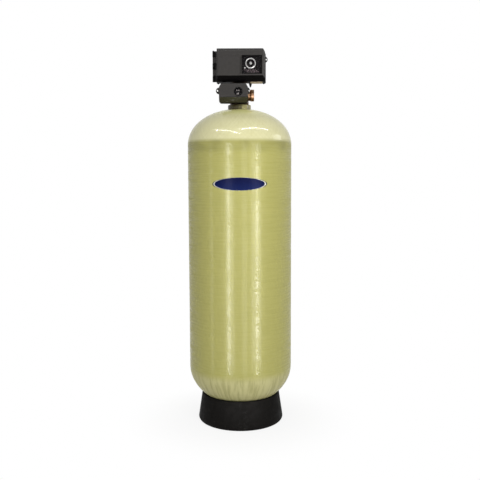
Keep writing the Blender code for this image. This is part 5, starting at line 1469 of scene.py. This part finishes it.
@dataclass
class BoxForm:
    """Outline of a drive box that flat faces cut: a cover in front and a back box behind.

    Attributes:
        left: Its left wall.
        right: Its right wall.
        bottom: Its underside.
        top: Its top.
        front: Its front.
        back: Its back.
        front_chamfers: Width of the slanted faces in front at the left, the right and the top.
        slope_depth: How far the slanted underside reaches back.
        slope_height: How far it reaches up.
        corners: Cut corners: the side, 1 for the top or -1 for the bottom, width and height.
    """

    left: float
    right: float
    bottom: float
    top: float
    front: float
    back: float
    front_chamfers: tuple[float, float, float] = (0.0, 0.0, 0.0)
    slope_depth: float = 0.0
    slope_height: float = 0.0
    corners: tuple[tuple[Side, int, float, float], ...] = ()

    def planes(self) -> list[Plane]:
        """Return the planes that bound the box."""
        walls = [((self.left, 0, 0), (-1, 0, 0)), ((self.right, 0, 0), (1, 0, 0))]
        walls += [((0, 0, self.bottom), (0, 0, -1)), ((0, 0, self.top), (0, 0, 1))]
        walls += [((0, self.front, 0), (0, -1, 0)), ((0, self.back, 0), (0, 1, 0))]
        at_left, at_right, at_top = self.front_chamfers
        if at_left:
            walls.append(((self.left + at_left, self.front, 0), (-1, -1, 0)))
        if at_right:
            walls.append(((self.right - at_right, self.front, 0), (1, -1, 0)))
        if at_top:
            walls.append(((0, self.front, self.top - at_top), (0, -1, 1)))
        if self.slope_depth:
            slope = (0, -self.slope_height, -self.slope_depth)
            walls.append(((0, self.front, self.bottom + self.slope_height), slope))
        for side, end, width, height in self.corners:
            wall = self.left if side is Side.LEFT else self.right
            level = self.top - height if end > 0 else self.bottom + height
            walls.append(((wall, 0, level), (side.value * height, 0, end * width)))
        return [(Vector(point), Vector(outward).normalized()) for point, outward in walls]

    def skin(self, name: str, parting: float, open_back: bool, edge: float, wall: float) -> Piece:
        """Build a moulded half of the box, open at its parting face.

        Args:
            name: The piece's name.
            parting: Where the two halves meet along Y.
            open_back: Whether this half is the front one, open at its back.
            edge: Rounding of its edges.
            wall: Thickness of its wall.

        Returns:
            The hollow piece.
        """
        solid = behind(self.planes())
        soften(solid, edge)
        sliced(solid, (0, parting, 0), (0, 1, 0) if open_back else (0, -1, 0))
        piece = shape(name, solid)
        hollowed(piece, wall)
        return piece


def add_to(piece: Piece, *solids: Solid) -> None:
    """Put more solids into a piece.

    Args:
        piece: The piece.
        *solids: What is fused to it.
    """
    whole = bmesh.new()
    whole.from_mesh(piece.data)
    whole = joined(whole, *solids)
    whole.to_mesh(piece.data)
    whole.free()


@dataclass
class EarPair:
    """Two matching ears of a cover and its back box, with their screw.

    Attributes:
        side: The side they stand on.
        wall: The wall they start from.
        reach: How far they stand out.
        height: How tall they are.
        centre: Height of their middle.
        parting: Where the two halves meet along Y; not used.
        thickness: How thick each ear is.
    """

    side: Side
    wall: float
    reach: float
    height: float
    centre: float
    parting: float
    thickness: float = 0.0055

    def solid(self, front: float) -> Solid:
        """Return one ear whose front is at a place along Y."""
        sign = self.side.value
        root = self.wall - sign * 0.002
        outline = arc((self.wall, 0), sign * self.reach, self.height / 2, -90, 90, 20)
        outline = [(root, -self.height / 2), *outline, (root, self.height / 2)]
        middle = (0.0, front + self.thickness / 2, self.centre)
        return moved(slab(outline, self.thickness - SEAT, 0.0009), across(Axis.Y, middle))

    def screw(self, name: str, body: str, node: str) -> None:
        """Build the ears' slotted screw.

        Args:
            name: The screw's name.
            body: The body that it moves with.
            node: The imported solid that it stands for.
        """
        low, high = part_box(node)
        centre = (low + high) / 2
        head = (high.x - low.x) / 2
        start, rise = low.y, 0.003
        profile = [(0.0, start + SEAT), (head * 0.45, start), (head * 0.8, start + 0.0007)]
        profile += [(head, start + 0.0018), (head, start + rise), (head * 0.52, start + rise)]
        profile += [(head * 0.52, high.y), (0.0, high.y)]
        piece = shape(name, along_y(spun(profile, 48), centre))
        slot = Matrix.Translation((centre.x, 0, centre.z)) @ Matrix.Rotation(math.radians(28), 4, "Y")
        half, deep = 0.0006, 0.0013
        tool = brick((-head * 2, start - 0.002, -half), (head * 2, start + deep, half))
        carve(piece, moved(tool, slot))
        smoothed(piece)
        dress(piece, BRIGHT_ZINC, body, node)


@dataclass
class UpperDrive:
    """Upper drive box: hinged cover with a window, back box, timer and drive train.

    Attributes:
        axis: Height of the piston's axis.
        left: Left wall of the cover.
        right: Right wall of the cover.
        below: How far the box reaches below the axis.
        above: How far it reaches above it.
        front: Front of the cover.
        parting: Where cover and back box meet.
        back: Back of the back box.
        wall: Thickness of the walls.
        edge: Rounding of the edges.
        rim: How far the back box stands out beside the cover.
        panel_left: How far the raised panel starts beside the left wall.
        panel_right: Right edge of the raised panel.
        panel_top: How far the raised panel reaches above the axis.
        panel_proud: How far the panel is raised.
        well_wall: Thickness of the well's wall.
        knuckles: Number of hinge knuckles.
        knuckle_gap: Gap between two knuckles.
        backing: Thickness of the plate behind the hinge's leaves.
        hinge_low: How far the hinge starts above the underside.
        fixed_barrel: Radius of the back box's knuckles.
        cover_barrel: Radius of the cover's knuckles.
        leaf: Thickness of a hinge leaf.
        chamfers: Width of the cover's slanted faces in front at the left, the right and the top.
        slope: How far the slanted underside reaches back and up.
        reflection_span: Left and right end of the tan strips under the box, a painted reflection.
        reflection_thick: Thickness of those tan strips.
        dot: Radius of a grip dot.
        dot_pitch: How far two rows of grip dots are apart.
        dot_columns: Number of columns of grip dots.
        ear_height: Height of the ears.
    """

    axis: float = field(default_factory=lambda: joint_place("upper_gear_turn").z)
    left: float = -0.1286
    right: float = 0.148
    below: float = 0.091
    above: float = 0.0955
    front: float = -0.150
    parting: float = -0.0495
    back: float = -0.035
    wall: float = 0.003
    edge: float = 0.0028
    rim: float = 0.007
    panel_left: float = 0.007
    panel_right: float = 0.003
    panel_top: float = 0.0525
    panel_proud: float = 0.0020
    well_wall: float = 0.0025
    knuckles: int = 5
    knuckle_gap: float = 0.0006
    backing: float = 0.0016
    hinge_low: float = 0.007
    fixed_barrel: float = 0.0060
    cover_barrel: float = 0.0053
    leaf: float = 0.0055
    chamfers: tuple[float, float, float] = (0.004, 0.014, 0.0135)
    slope: Point = (0.030, 0.032)
    reflection_span: Point = (0.064, 0.134)
    reflection_thick: float = 0.0012
    dot: float = 0.0021
    dot_pitch: float = 0.0062
    dot_columns: int = 2
    ear_height: float = 0.035

    def __post_init__(self) -> None:
        """Work out the box's heights, its window, its hinge and its ears."""
        self.bottom = self.axis - self.below
        self.top = self.axis + self.above
        self.hinge = joint_place("cover_hinge")
        low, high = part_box("window_pane")
        rim = self.well_wall
        self.window = (low.x + rim, low.z + rim, high.x - rim, high.z - rim)
        self.pane_front = low.y
        self.pane_back = high.y
        self.cut_corner = ((Side.RIGHT, 1, 0.012, 0.020),)
        screw_low, screw_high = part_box("cover_screw")
        self.ears = EarPair(
            Side.RIGHT, self.right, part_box("upper_cover")[1].x - self.right, self.ear_height,
            (screw_low.z + screw_high.z) / 2, self.parting)

    def build(self) -> None:
        """Build the box and finish what it holds."""
        self.hood()
        self.window_frame()
        self.back_box()
        self.ears.screw("captive_screw", "cover", "cover_screw")
        self.pin()
        self.gland()
        Timer().build()
        DriveTrain("upper").finish()

    def spans(self) -> list[tuple[float, float]]:
        """Return each knuckle's low and high end, from the bottom up."""
        low = self.bottom + self.hinge_low
        pitch = (self.top - self.knuckle_gap - low) / self.knuckles
        return [(low + pitch * n, low + pitch * (n + 1) - self.knuckle_gap) for n in range(self.knuckles)]

    def barrels(self, parity: int, radius: float, leaf_front: float) -> list[Solid]:
        """Return every other knuckle with the leaf that carries it.

        Args:
            parity: 0 for the back box's knuckles, 1 for the cover's.
            radius: Their radius.
            leaf_front: Where the leaf's front is along Y.

        Returns:
            The solids, in their places.
        """
        solids = []
        for low, high in self.spans()[parity::2]:
            solids.append(along_z(rod(radius, low, high, 40, 0.0008), self.hinge))
            corner = (self.left + self.wall / 2, leaf_front + self.leaf, high - 2 * SEAT)
            solids.append(brick((self.hinge.x, leaf_front, low + 2 * SEAT), corner, 0.0008))
        return solids

    def hood(self) -> None:
        """Build the hinged cover, its raised panel and its grip dots."""
        form = BoxForm(
            self.left, self.right, self.bottom, self.top, self.front, self.parting + 0.02,
            self.chamfers, *self.slope, self.cut_corner)
        cover = form.skin("hinged_cover", self.parting, True, self.edge, self.wall)
        left, low, right, high = self.window
        carve(cover, brick((left, self.front - PROBE, low), (right, self.front + 2 * PROBE, high)))
        add_to(cover, self.ears.solid(self.parting - self.ears.thickness))
        add_to(cover, *self.barrels(1, self.cover_barrel, self.parting - self.leaf))
        smoothed(cover, crisp=True)
        dress(cover, CHARCOAL, "cover", "upper_cover")
        # Painted shade: the cover's down-facing faces get the near-black copy of its plastic.
        finish_facing(cover, UNDERSIDE_SHADE)
        # Painted reflection: a tan strip under the cover.
        self.strip("cover_painted_reflection", "cover", self.front + 0.033, self.parting - 0.0015)
        panel = brick(
            (self.left + self.panel_left, self.front - self.panel_proud, self.bottom + self.slope[1]),
            (self.panel_right, self.front + self.wall / 2, self.axis + self.panel_top), 0.0017, 3)
        piece = shape("raised_panel", panel, crisp=True)
        dress(piece, CHARCOAL, "cover")
        dots, pitch = bmesh.new(), self.dot_pitch
        for row in range(int((high - low) / pitch)):
            for column in range(self.dot_columns):
                spot = self.panel_right + 0.0036 + column * pitch * 0.9
                level = low + (row + 0.5 * (column % 2) + 0.25) * pitch
                knob = spun(dome(self.dot, self.dot * 0.55, 2.0, 0.0, 3) + [(0.0, 0.0)], 10)
                dots = joined(dots, moved(knob, across(Axis.Y, (spot, self.front, level))))
        dress(shape("grip_dots", dots), HOUSING, "cover")

    def strip(self, name: str, body: str, front: float, back: float) -> None:
        """Build a tan strip under the box, a painted reflection of the pale floor and tank.

        Args:
            name: The strip's name.
            body: The body that it moves with.
            front: Where it starts along Y.
            back: Where it ends along Y.
        """
        left, right = self.reflection_span
        strip = brick((left, front, self.bottom - self.reflection_thick), (right, back, self.bottom - SEAT))
        dress(shape(name, strip, crisp=True), TAN_REFLECTION_STRIP, body)

    def window_frame(self) -> None:
        """Build the well round the window and the clear pane behind it."""
        left, low, right, high = self.window
        out = self.well_wall
        deep = self.pane_front - SEAT
        well = shape("window_well", brick(
            (left - out, self.front + self.wall / 2, low - out), (right + out, deep, high + out), 0.0006))
        carve(well, brick((left, self.front - PROBE, low), (right, deep + PROBE, high)))
        smoothed(well, crisp=True)
        dress(well, CHARCOAL, "cover")
        pane = brick(
            (left - out, self.pane_front, low - out), (right + out, self.pane_back, high + out), 0.0005)
        dress(shape("clear_window", pane, crisp=True), CLEAR, "cover", "window_pane")

    def back_box(self) -> None:
        """Build the back box with its feet, its ribs and its half of the hinge."""
        face = self.parting + SEAT
        form = BoxForm(
            self.left - self.rim / 2, self.right + self.rim, self.bottom, self.top, face - 0.02, self.back,
            corners=self.cut_corner)
        box = form.skin("back_box", face, False, self.edge / 2, self.wall)
        carve(box, along_y(rod(ROD_ROOM, face, 0.0, 32), joint_place("upper_gear_turn")))
        feet = ((self.left + 0.0016, self.left + 0.012), (self.right - 0.010, self.right + 0.0004))
        for near, far in feet:
            low = (near, face + 0.0033, self.bottom - 0.004)
            add_to(box, brick(low, (far, self.back - 0.0018, self.bottom + 0.0015), 0.001))
        # Painted reflection: a tan strip under the back box.
        self.strip("pan_painted_reflection", "filter", face + 0.0015, self.back - 0.001)
        spans, leaf_back = self.spans(), face + self.leaf
        backing = brick(
            (self.hinge.x + 0.003, leaf_back - self.backing, spans[0][0] + SEAT),
            (self.left + self.wall / 2, leaf_back - SEAT, spans[-1][1] - SEAT))
        add_to(box, self.ears.solid(face), backing, *self.barrels(0, self.fixed_barrel, face))
        smoothed(box, crisp=True)
        dress(box, HOUSING, "filter", "upper_back_box")

    def pin(self) -> None:
        """Build the hinge's pin with its head."""
        low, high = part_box("hinge_pin")
        spans = self.spans()
        seat = spans[-1][1] + SEAT
        head = (high.x - low.x) / 2
        stem = 0.0025
        profile = [(0.0, low.z), (stem, low.z), (stem, seat), (head, seat), (head, high.z), (0.0, high.z)]
        pin = along_z(spun(fillet(profile, 0.0006), 40), self.hinge)
        dress(shape("hinge_rod", pin), STEEL, "filter", "hinge_pin")

    def gland(self) -> None:
        """Build the tapered strain relief with its rings."""
        low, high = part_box("cord_gland")
        centre = (low + high) / 2
        wide, bore, flange = (high.x - low.x) / 2, 0.0032, 0.005
        rings, groove = 4, 0.0011
        root, tip = wide * 0.92, wide * 0.54
        taper = high.z - flange
        pitch = (taper - low.z) / rings
        profile = [(bore, high.z), (wide, high.z), (wide, taper)]
        for ring in range(rings):
            radius = root + (tip - root) * ring / (rings - 1)
            level = taper - ring * pitch
            profile += [(radius, level - pitch * 0.1), (radius, level - pitch * 0.55)]
            profile += [(radius - groove, level - pitch * 0.6), (radius - groove, level - pitch * 0.95)]
        profile += [(tip - groove, low.z), (bore, low.z)]
        relief = along_z(spun(profile, 48, closed=True), centre)
        dress(shape("strain_relief", relief, angle=50.0), RUBBER, "filter", "cord_gland")


@dataclass
class Timer:
    """Timer behind the window: face plate, dial, knob, set button and works.

    Attributes:
        ticks: Number of ticks on the dial.
        bars: Widths of the face's printed bars, row by row.
        bar_pitch: How far two rows of bars are apart.
        bar_height: Height of a bar.
        bar_gap: Gap between two bars.
    """

    ticks: int = 24
    bars: tuple[tuple[float, ...], ...] = (
        (0.006, 0.004, 0.009, 0.005, 0.011, 0.004), (0.004, 0.012, 0.007, 0.004, 0.006, 0.010),
        (0.009, 0.004, 0.008, 0.012, 0.004, 0.007))
    bar_pitch: float = 0.0058
    bar_height: float = 0.0024
    bar_gap: float = 0.0050

    def build(self) -> None:
        """Build the timer."""
        self.face()
        self.dial()
        self.knob()
        self.button()
        refinish("timer_case", ZINC)

    def face(self) -> None:
        """Build the face plate with its posts and its printed marks."""
        low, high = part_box("timer_face_plate")
        thick = 0.0025
        inset, post = 0.007, 0.003
        plate = brick((low.x, low.y, low.z), (high.x, low.y + thick, high.z), 0.0008)
        piece = shape("timer_face", plate)
        for across_x in (low.x + inset, high.x - inset):
            for level in (low.z + inset, high.z - inset):
                spot = Vector((across_x, 0.0, level))
                add_to(piece, along_y(rod(post, low.y + thick / 2, high.y, 24), spot))
        smoothed(piece, crisp=True)
        dress(piece, DARK_PLASTIC, "filter", "timer_face_plate")
        marks = bmesh.new()
        dial = joint_place("dial_turn")
        for row, bars in enumerate(self.bars):
            spot = dial.x - 0.036 + 0.007 * row
            level = dial.z - 0.0385 - row * self.bar_pitch
            for width in bars:
                start = (spot, low.y - SEAT, level)
                bar = brick(start, (spot + width, low.y + SEAT, level + self.bar_height))
                marks = joined(marks, bar)
                spot += width + self.bar_gap
        dress(shape("face_marks", marks), FACE_PRINT, "filter")

    def dial(self) -> None:
        """Build the dial's disc with its ticks, and its bright ring."""
        low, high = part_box("dial_disc")
        place = joint_place("dial_turn")
        ring_low, ring_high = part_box("dial_ring")
        outer = (ring_high.x - ring_low.x) / 2
        inner = (high.x - low.x) / 2
        profile = rounded_loop([(0.0088, low.y), (inner, low.y), (inner, high.y), (0.0088, high.y)], 0.0006)
        disc = along_y(spun(profile, 96, closed=True), place)
        dress(shape("dial_plate", disc), DARK_PLASTIC, "dial", "dial_disc")
        hollow = inner + SEAT
        front, rear = ring_low.y, ring_high.y
        rim = rounded_loop([(hollow, front), (outer, front), (outer, rear), (hollow, rear)], 0.0016)
        ring = along_y(spun(rim, 96, closed=True), place)
        dress(shape("bright_ring", ring), BRIGHT_RING, "dial", "dial_ring")
        ticks = bmesh.new()
        for number in range(self.ticks):
            length = 0.005 if number % 6 == 0 else 0.0026
            start = (-0.0004, low.y - 0.0002, inner - length)
            tick = brick(start, (0.0004, low.y + 0.0004, inner - 0.0008))
            turn = Matrix.Rotation(2 * math.pi * number / self.ticks, 4, "Y")
            ticks = joined(ticks, moved(tick, Matrix.Translation((place.x, 0.0, place.z)) @ turn))
        dress(shape("dial_ticks", ticks), PALE_PRINT, "dial")

    def knob(self) -> None:
        """Build the turned knob with its fluted grip and its shaft."""
        low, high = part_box("manual_knob")
        place = joint_place("knob_turn")
        radius = (high.x - low.x) / 2
        skirt = low.y + 0.0046
        profile = [(0.0, low.y), (radius * 0.62, low.y), (radius * 0.82, low.y + 0.0016)]
        profile += [(radius * 0.82, skirt), (radius, skirt + 0.0008), (radius, low.y + 0.008)]
        profile += [(0.0028, low.y + 0.008), (0.0028, high.y), (0.0, high.y)]
        piece = shape("bright_knob", along_y(spun(fillet(profile, 0.0007), 72), place))
        dress(piece, BRIGHT_RING, "knob", "manual_knob")

    def button(self) -> None:
        """Build the set button."""
        low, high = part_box("set_button")
        centre = (low + high) / 2
        radius = (high.x - low.x) / 2
        button = along_y(rod(radius, low.y, high.y, 40, 0.0012), centre)
        dress(shape("plated_button", button), BUTTON_PLATE, "button", "set_button")


@dataclass
class DriveTrain:
    """Finishes of one drive's motor, gears, yoke and switch.

    Attributes:
        stage: The drive's name, upper or lower.
    """

    stage: str

    def finish(self) -> None:
        """Finish the drive train."""
        finishes = {
            "drive_bracket": ZINC, "drive_motor": ZINC, "gear_axle": STEEL, "pinion": STEEL,
            "drive_gear": ACETAL, "yoke": ACETAL, "cam_switch": DARK_PLASTIC,
        }
        for piece, finish in finishes.items():
            refinish(f"{self.stage}_{piece}", finish)


@dataclass
class LowerDrive:
    """Lower drive box: screwed cover with a round window, back box and position drum.

    Attributes:
        axis: Height of the piston's axis; not used.
        front: Front of the cover.
        parting: Where cover and back box meet.
        ear_reaches: How far the left and the right ear stand out.
        wall: Thickness of the walls.
        edge: Rounding of the edges.
        chamfers: Width of the cover's slanted faces in front at the left, the right and the top.
        slope: How far the slanted underside reaches back and up.
        pane_rim: How much wider the round pane is than its window.
        ear_height: Height of the ears.
        prints: The drum's printed bars: place, width, lean in degrees and height.
    """

    axis: float = field(default_factory=lambda: joint_place("lower_gear_turn").z)
    front: float = -0.150
    parting: float = -0.078
    ear_reaches: tuple[float, float] = (0.019, 0.012)
    wall: float = 0.003
    edge: float = 0.0032
    chamfers: tuple[float, float, float] = (0.0, 0.0, 0.006)
    slope: Point = (0.030, 0.031)
    pane_rim: float = 0.003
    ear_height: float = 0.038
    prints: tuple[tuple[float, float, float, float], ...] = (
        (-0.0095, 0.007, -16.0, 0.004), (0.0025, 0.007, -16.0, 0.004),
        (-0.0070, 0.005, 24.0, 0.009), (0.0015, 0.005, 24.0, 0.009))

    def __post_init__(self) -> None:
        """Read the box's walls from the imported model."""
        low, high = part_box("lower_back_box")
        self.left, self.right = low.x + self.ear_reaches[0], high.x - self.ear_reaches[1]
        self.bottom, self.top = low.z, high.z
        self.back = high.y
        self.cut_corners = tuple((side, 1, 0.013, 0.023) for side in Side)
        self.cut_corners += tuple((side, -1, 0.009, 0.009) for side in Side)

    def build(self) -> None:
        """Build the box and finish what it holds."""
        pane_low, pane_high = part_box("porthole_pane")
        centre = (pane_low + pane_high) / 2
        window = (pane_high.x - pane_low.x) / 2 - self.pane_rim
        form = BoxForm(
            self.left, self.right, self.bottom, self.top, self.front, self.parting + 0.02,
            self.chamfers, *self.slope, self.cut_corners)
        cover = form.skin("lower_hood", self.parting, True, self.edge, self.wall)
        carve(cover, along_y(rod(window, self.front - PROBE, self.front + PROBE, 64), centre))
        face = self.parting + SEAT
        rear = BoxForm(
            self.left, self.right, self.bottom, self.top, face - 0.02, self.back, corners=self.cut_corners)
        box = rear.skin("lower_pan", face, False, self.edge / 2, self.wall)
        carve(box, along_y(rod(ROD_ROOM, face, 0.0, 32), joint_place("lower_gear_turn")))
        for side, wall, reach in zip((Side.LEFT, Side.RIGHT), (self.left, self.right), self.ear_reaches):
            word = side.name.lower()
            screw_low, screw_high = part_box(f"lower_{word}_screw")
            middle = (screw_low.z + screw_high.z) / 2
            ears = EarPair(side, wall, reach, self.ear_height, middle, self.parting)
            add_to(cover, ears.solid(self.parting - ears.thickness))
            add_to(box, ears.solid(face))
            ears.screw(f"{word}_cover_screw", "filter", f"lower_{word}_screw")
        smoothed(cover, crisp=True)
        smoothed(box, crisp=True)
        dress(cover, CHARCOAL, "filter", "lower_cover")
        # Painted shade: the cover's down-facing faces get the near-black copy of its plastic.
        finish_facing(cover, UNDERSIDE_SHADE)
        # Painted shade: the slope that faces down and forward gets the darker, glossier copy.
        finish_facing(cover, SHADED_GLOSSY_SLOPE, (0.0, -0.72, -0.70), 0.95)
        dress(box, HOUSING, "filter", "lower_back_box")
        pane = along_y(rod(window + self.pane_rim, pane_low.y, pane_high.y, 64, 0.0004), centre)
        dress(shape("round_window", pane), CLEAR, "filter", "porthole_pane")
        inner, outer = window - 0.0002, window + 0.0022
        near, far = self.front - 0.0008, self.front + 0.001
        bezel = rounded_loop([(inner, near), (outer, near), (outer, far), (inner, far)], 0.0007)
        ring = along_y(spun(bezel, 72, closed=True), centre)
        dress(shape("window_bezel", ring), HOUSING, "filter")
        self.drum()
        DriveTrain("lower").finish()

    def drum(self) -> None:
        """Finish the position drum and print its marks."""
        refinish("position_drum", DARK_PLASTIC)
        low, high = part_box("position_drum")
        axle = joint_place("lower_gear_turn")
        radius = (high.z - low.z) / 2
        marks = bmesh.new()
        middle = low.x + 0.022
        for turn in range(0, 360, 90):
            for spot, width, lean, tall in self.prints:
                left, front = middle + spot, -radius - 0.0002
                bar = brick((left, front, -tall / 2), (left + width, -radius + 0.001, tall / 2))
                heading = Matrix.Rotation(math.radians(turn + lean), 4, "X")
                marks = joined(marks, moved(bar, Matrix.Translation((0.0, axle.y, axle.z)) @ heading))
        dress(shape("drum_marks", marks), PALE_PRINT, "lower_gear")


# Studio


@dataclass(frozen=True)
class Lamp:
    """A soft lamp between two ends, like a tube or a panel.

    Attributes:
        name: Its name.
        start: One end of its middle line.
        end: The other end.
        width: Its width across that line.
        power: Its power in watts.
        glossy: Whether it shows in glossy surfaces.
        diffuse: Whether it lights dull surfaces.
    """

    name: str
    start: Place
    end: Place
    width: float
    power: float
    glossy: bool = True
    diffuse: bool = True

    def hang(self, target: Place) -> None:
        """Hang the lamp so that it faces a place.

        Args:
            target: The place that it faces.
        """
        start, end = Vector(self.start), Vector(self.end)
        data = bpy.data.lights.new(self.name, "AREA")
        data.shape = "RECTANGLE"
        data.size, data.size_y = self.width, (end - start).length
        data.energy = self.power
        lamp = bpy.data.objects.new(self.name, data)
        along = (end - start).normalized()
        middle = (start + end) / 2
        away = middle - Vector(target)
        away = (away - away.dot(along) * along).normalized()
        turn = Matrix((along.cross(away), along, away)).transposed().to_4x4()
        lamp.matrix_world = Matrix.Translation(middle) @ turn
        lamp.visible_camera = False
        lamp.visible_glossy = self.glossy
        lamp.visible_diffuse = self.diffuse
        bpy.context.scene.collection.objects.link(lamp)


def upright(name: str, heading: float, distance: float, low: float, high: float, width: float,
            power: float, **kind: bool) -> Lamp:
    """Return an upright lamp beside the tank.

    Args:
        name: Its name.
        heading: Its bearing from the front, in degrees, positive to the right.
        distance: How far it is from the tank's axis.
        low: Height of its lower end.
        high: Height of its upper end.
        width: Its width.
        power: Its power in watts.
        **kind: Whether it is glossy and diffuse.

    Returns:
        The lamp.
    """
    turn = math.radians(heading)
    across_x, along_y = distance * math.sin(turn), -distance * math.cos(turn)
    return Lamp(name, (across_x, along_y, low), (across_x, along_y, high), width, power, **kind)


@dataclass
class Studio:
    """Pale floor, soft lamps, plain world and the camera at the photograph's place.

    Attributes:
        camera_place: Where the camera stands.
        tilt: How far it looks down, in degrees.
        roll: How far it is turned about its view, in degrees.
        lens: Its focal length on a 36 mm sensor.
        world: Strength of the world's light on dull surfaces.
        strip_span: Height of both ends of the strips that the tank's side mirrors.
        tube: Width and power of a ceiling tube.
    """

    camera_place: Place = (0.0, -4.311, 1.505)
    tilt: float = 5.34
    roll: float = -0.258
    lens: float = 53.75
    world: float = 0.34
    strip_span: Point = (0.02, 1.74)
    tube: Point = (0.09, 60.0)

    def build(self) -> None:
        """Build the studio."""
        bpy.context.scene.view_settings.view_transform = "Standard"
        self.camera()
        self.floor()
        self.sky()
        beside, tube = self.strip_span, self.tube
        lamps = (
            upright("key", 22.0, 4.4, 1.6, 3.8, 2.2, 130.0, glossy=False),
            upright("fill", -24.0, 4.4, 1.0, 3.2, 2.0, 37.0, glossy=False),
            upright("left strip", -22.0, 1.40, *beside, 0.14, 10.5, diffuse=False),
            upright("left glow", -20.0, 1.42, *beside, 0.40, 12.5, diffuse=False),
            upright("right strip", 33.5, 1.40, *beside, 0.12, 11.0, diffuse=False),
            upright("right glow", 32.0, 1.42, *beside, 0.48, 19.0, diffuse=False),
            upright("side card", 91.0, 3.00, 2.20, 3.10, 1.3, 17.0, diffuse=False),
            upright("middle strip", 8.5, 1.40, *beside, 0.24, 6.0, diffuse=False),
            upright("far left strip", -58.0, 1.30, *beside, 0.16, 2.5, diffuse=False),
            Lamp("left ceiling tube", (-2.13, -0.84, 3.92), (0.09, -2.63, 3.61), *tube, diffuse=False),
            Lamp("right ceiling tube", (-0.06, -1.90, 4.27), (2.35, -0.42, 3.81), *tube, diffuse=False),
        )
        for lamp in lamps:
            lamp.hang((0.0, 0.0, 1.1))

    def camera(self) -> None:
        """Stand the camera where the photograph was taken from."""
        data = bpy.data.cameras.new("camera")
        data.sensor_width = 36.0
        data.lens = self.lens
        camera = bpy.data.objects.new("camera", data)
        look = Matrix.Rotation(math.radians(90.0 - self.tilt), 4, "X")
        camera.matrix_world = (
            Matrix.Translation(self.camera_place) @ look @ Matrix.Rotation(math.radians(self.roll), 4, "Z"))
        bpy.context.scene.collection.objects.link(camera)
        bpy.context.scene.camera = camera

    def floor(self) -> None:
        """Lay the floor, which shows white and keeps the filter's shadow."""
        sheet = bmesh.new()
        bmesh.ops.create_grid(sheet, x_segments=1, y_segments=1, size=12.0)
        floor = shape("floor", sheet)
        material = bpy.data.materials.new("white floor")
        material.use_nodes = True
        graph = Graph(material.node_tree)
        place = graph.add("ShaderNodeTexCoord", {}).outputs["Object"]
        away = graph.add("ShaderNodeVectorMath", {0: place}, operation="LENGTH").outputs["Value"]
        shader = material.node_tree.nodes["Principled BSDF"]
        graph.feed(shader, {
            "Base Color": (0.82, 0.82, 0.81, 1.0), "Roughness": 0.9, "Specular IOR Level": 0.0})
        path = graph.add("ShaderNodeLightPath", {})
        clear = graph.spread(away, 0.22, 0.75, 0.88, 1.0)
        seen = graph.math("MULTIPLY", path.outputs["Is Camera Ray"], clear)
        seen = graph.math("MAXIMUM", seen, path.outputs["Is Glossy Ray"])
        glow = graph.add("ShaderNodeEmission", {"Color": (1, 1, 1, 1), "Strength": 1.0})
        mixed = graph.add("ShaderNodeMixShader", {0: seen, 1: shader.outputs[0], 2: glow.outputs[0]})
        out = material.node_tree.nodes["Material Output"]
        graph.feed(out, {"Surface": mixed.outputs[0]})
        floor.data.materials.append(material)

    def sky(self) -> None:
        """Make the world white to look at, and softer as a light."""
        world = bpy.data.worlds.new("white studio")
        bpy.context.scene.world = world
        world.use_nodes = True
        graph = Graph(world.node_tree)
        path = graph.add("ShaderNodeLightPath", {})
        shown = graph.math("MAXIMUM", path.outputs["Is Camera Ray"], path.outputs["Is Glossy Ray"])
        shown = graph.math("MAXIMUM", shown, path.outputs["Is Transmission Ray"])
        strength = graph.spread(shown, 0.0, 1.0, self.world, 1.0)
        background = world.node_tree.nodes["Background"]
        graph.feed(background, {"Color": (1.0, 1.0, 1.0, 1.0), "Strength": strength})


def main() -> None:
    """Build the studio and every sub-assembly."""
    logging.basicConfig(level=logging.INFO, format="%(message)s")
    Studio().build()
    tank = Tank()
    tank.build()
    Boot().build(tank)
    Inside().build()
    Valve().build()
    UpperDrive().build()
    LowerDrive().build()


if __name__ == "__main__":
    main()
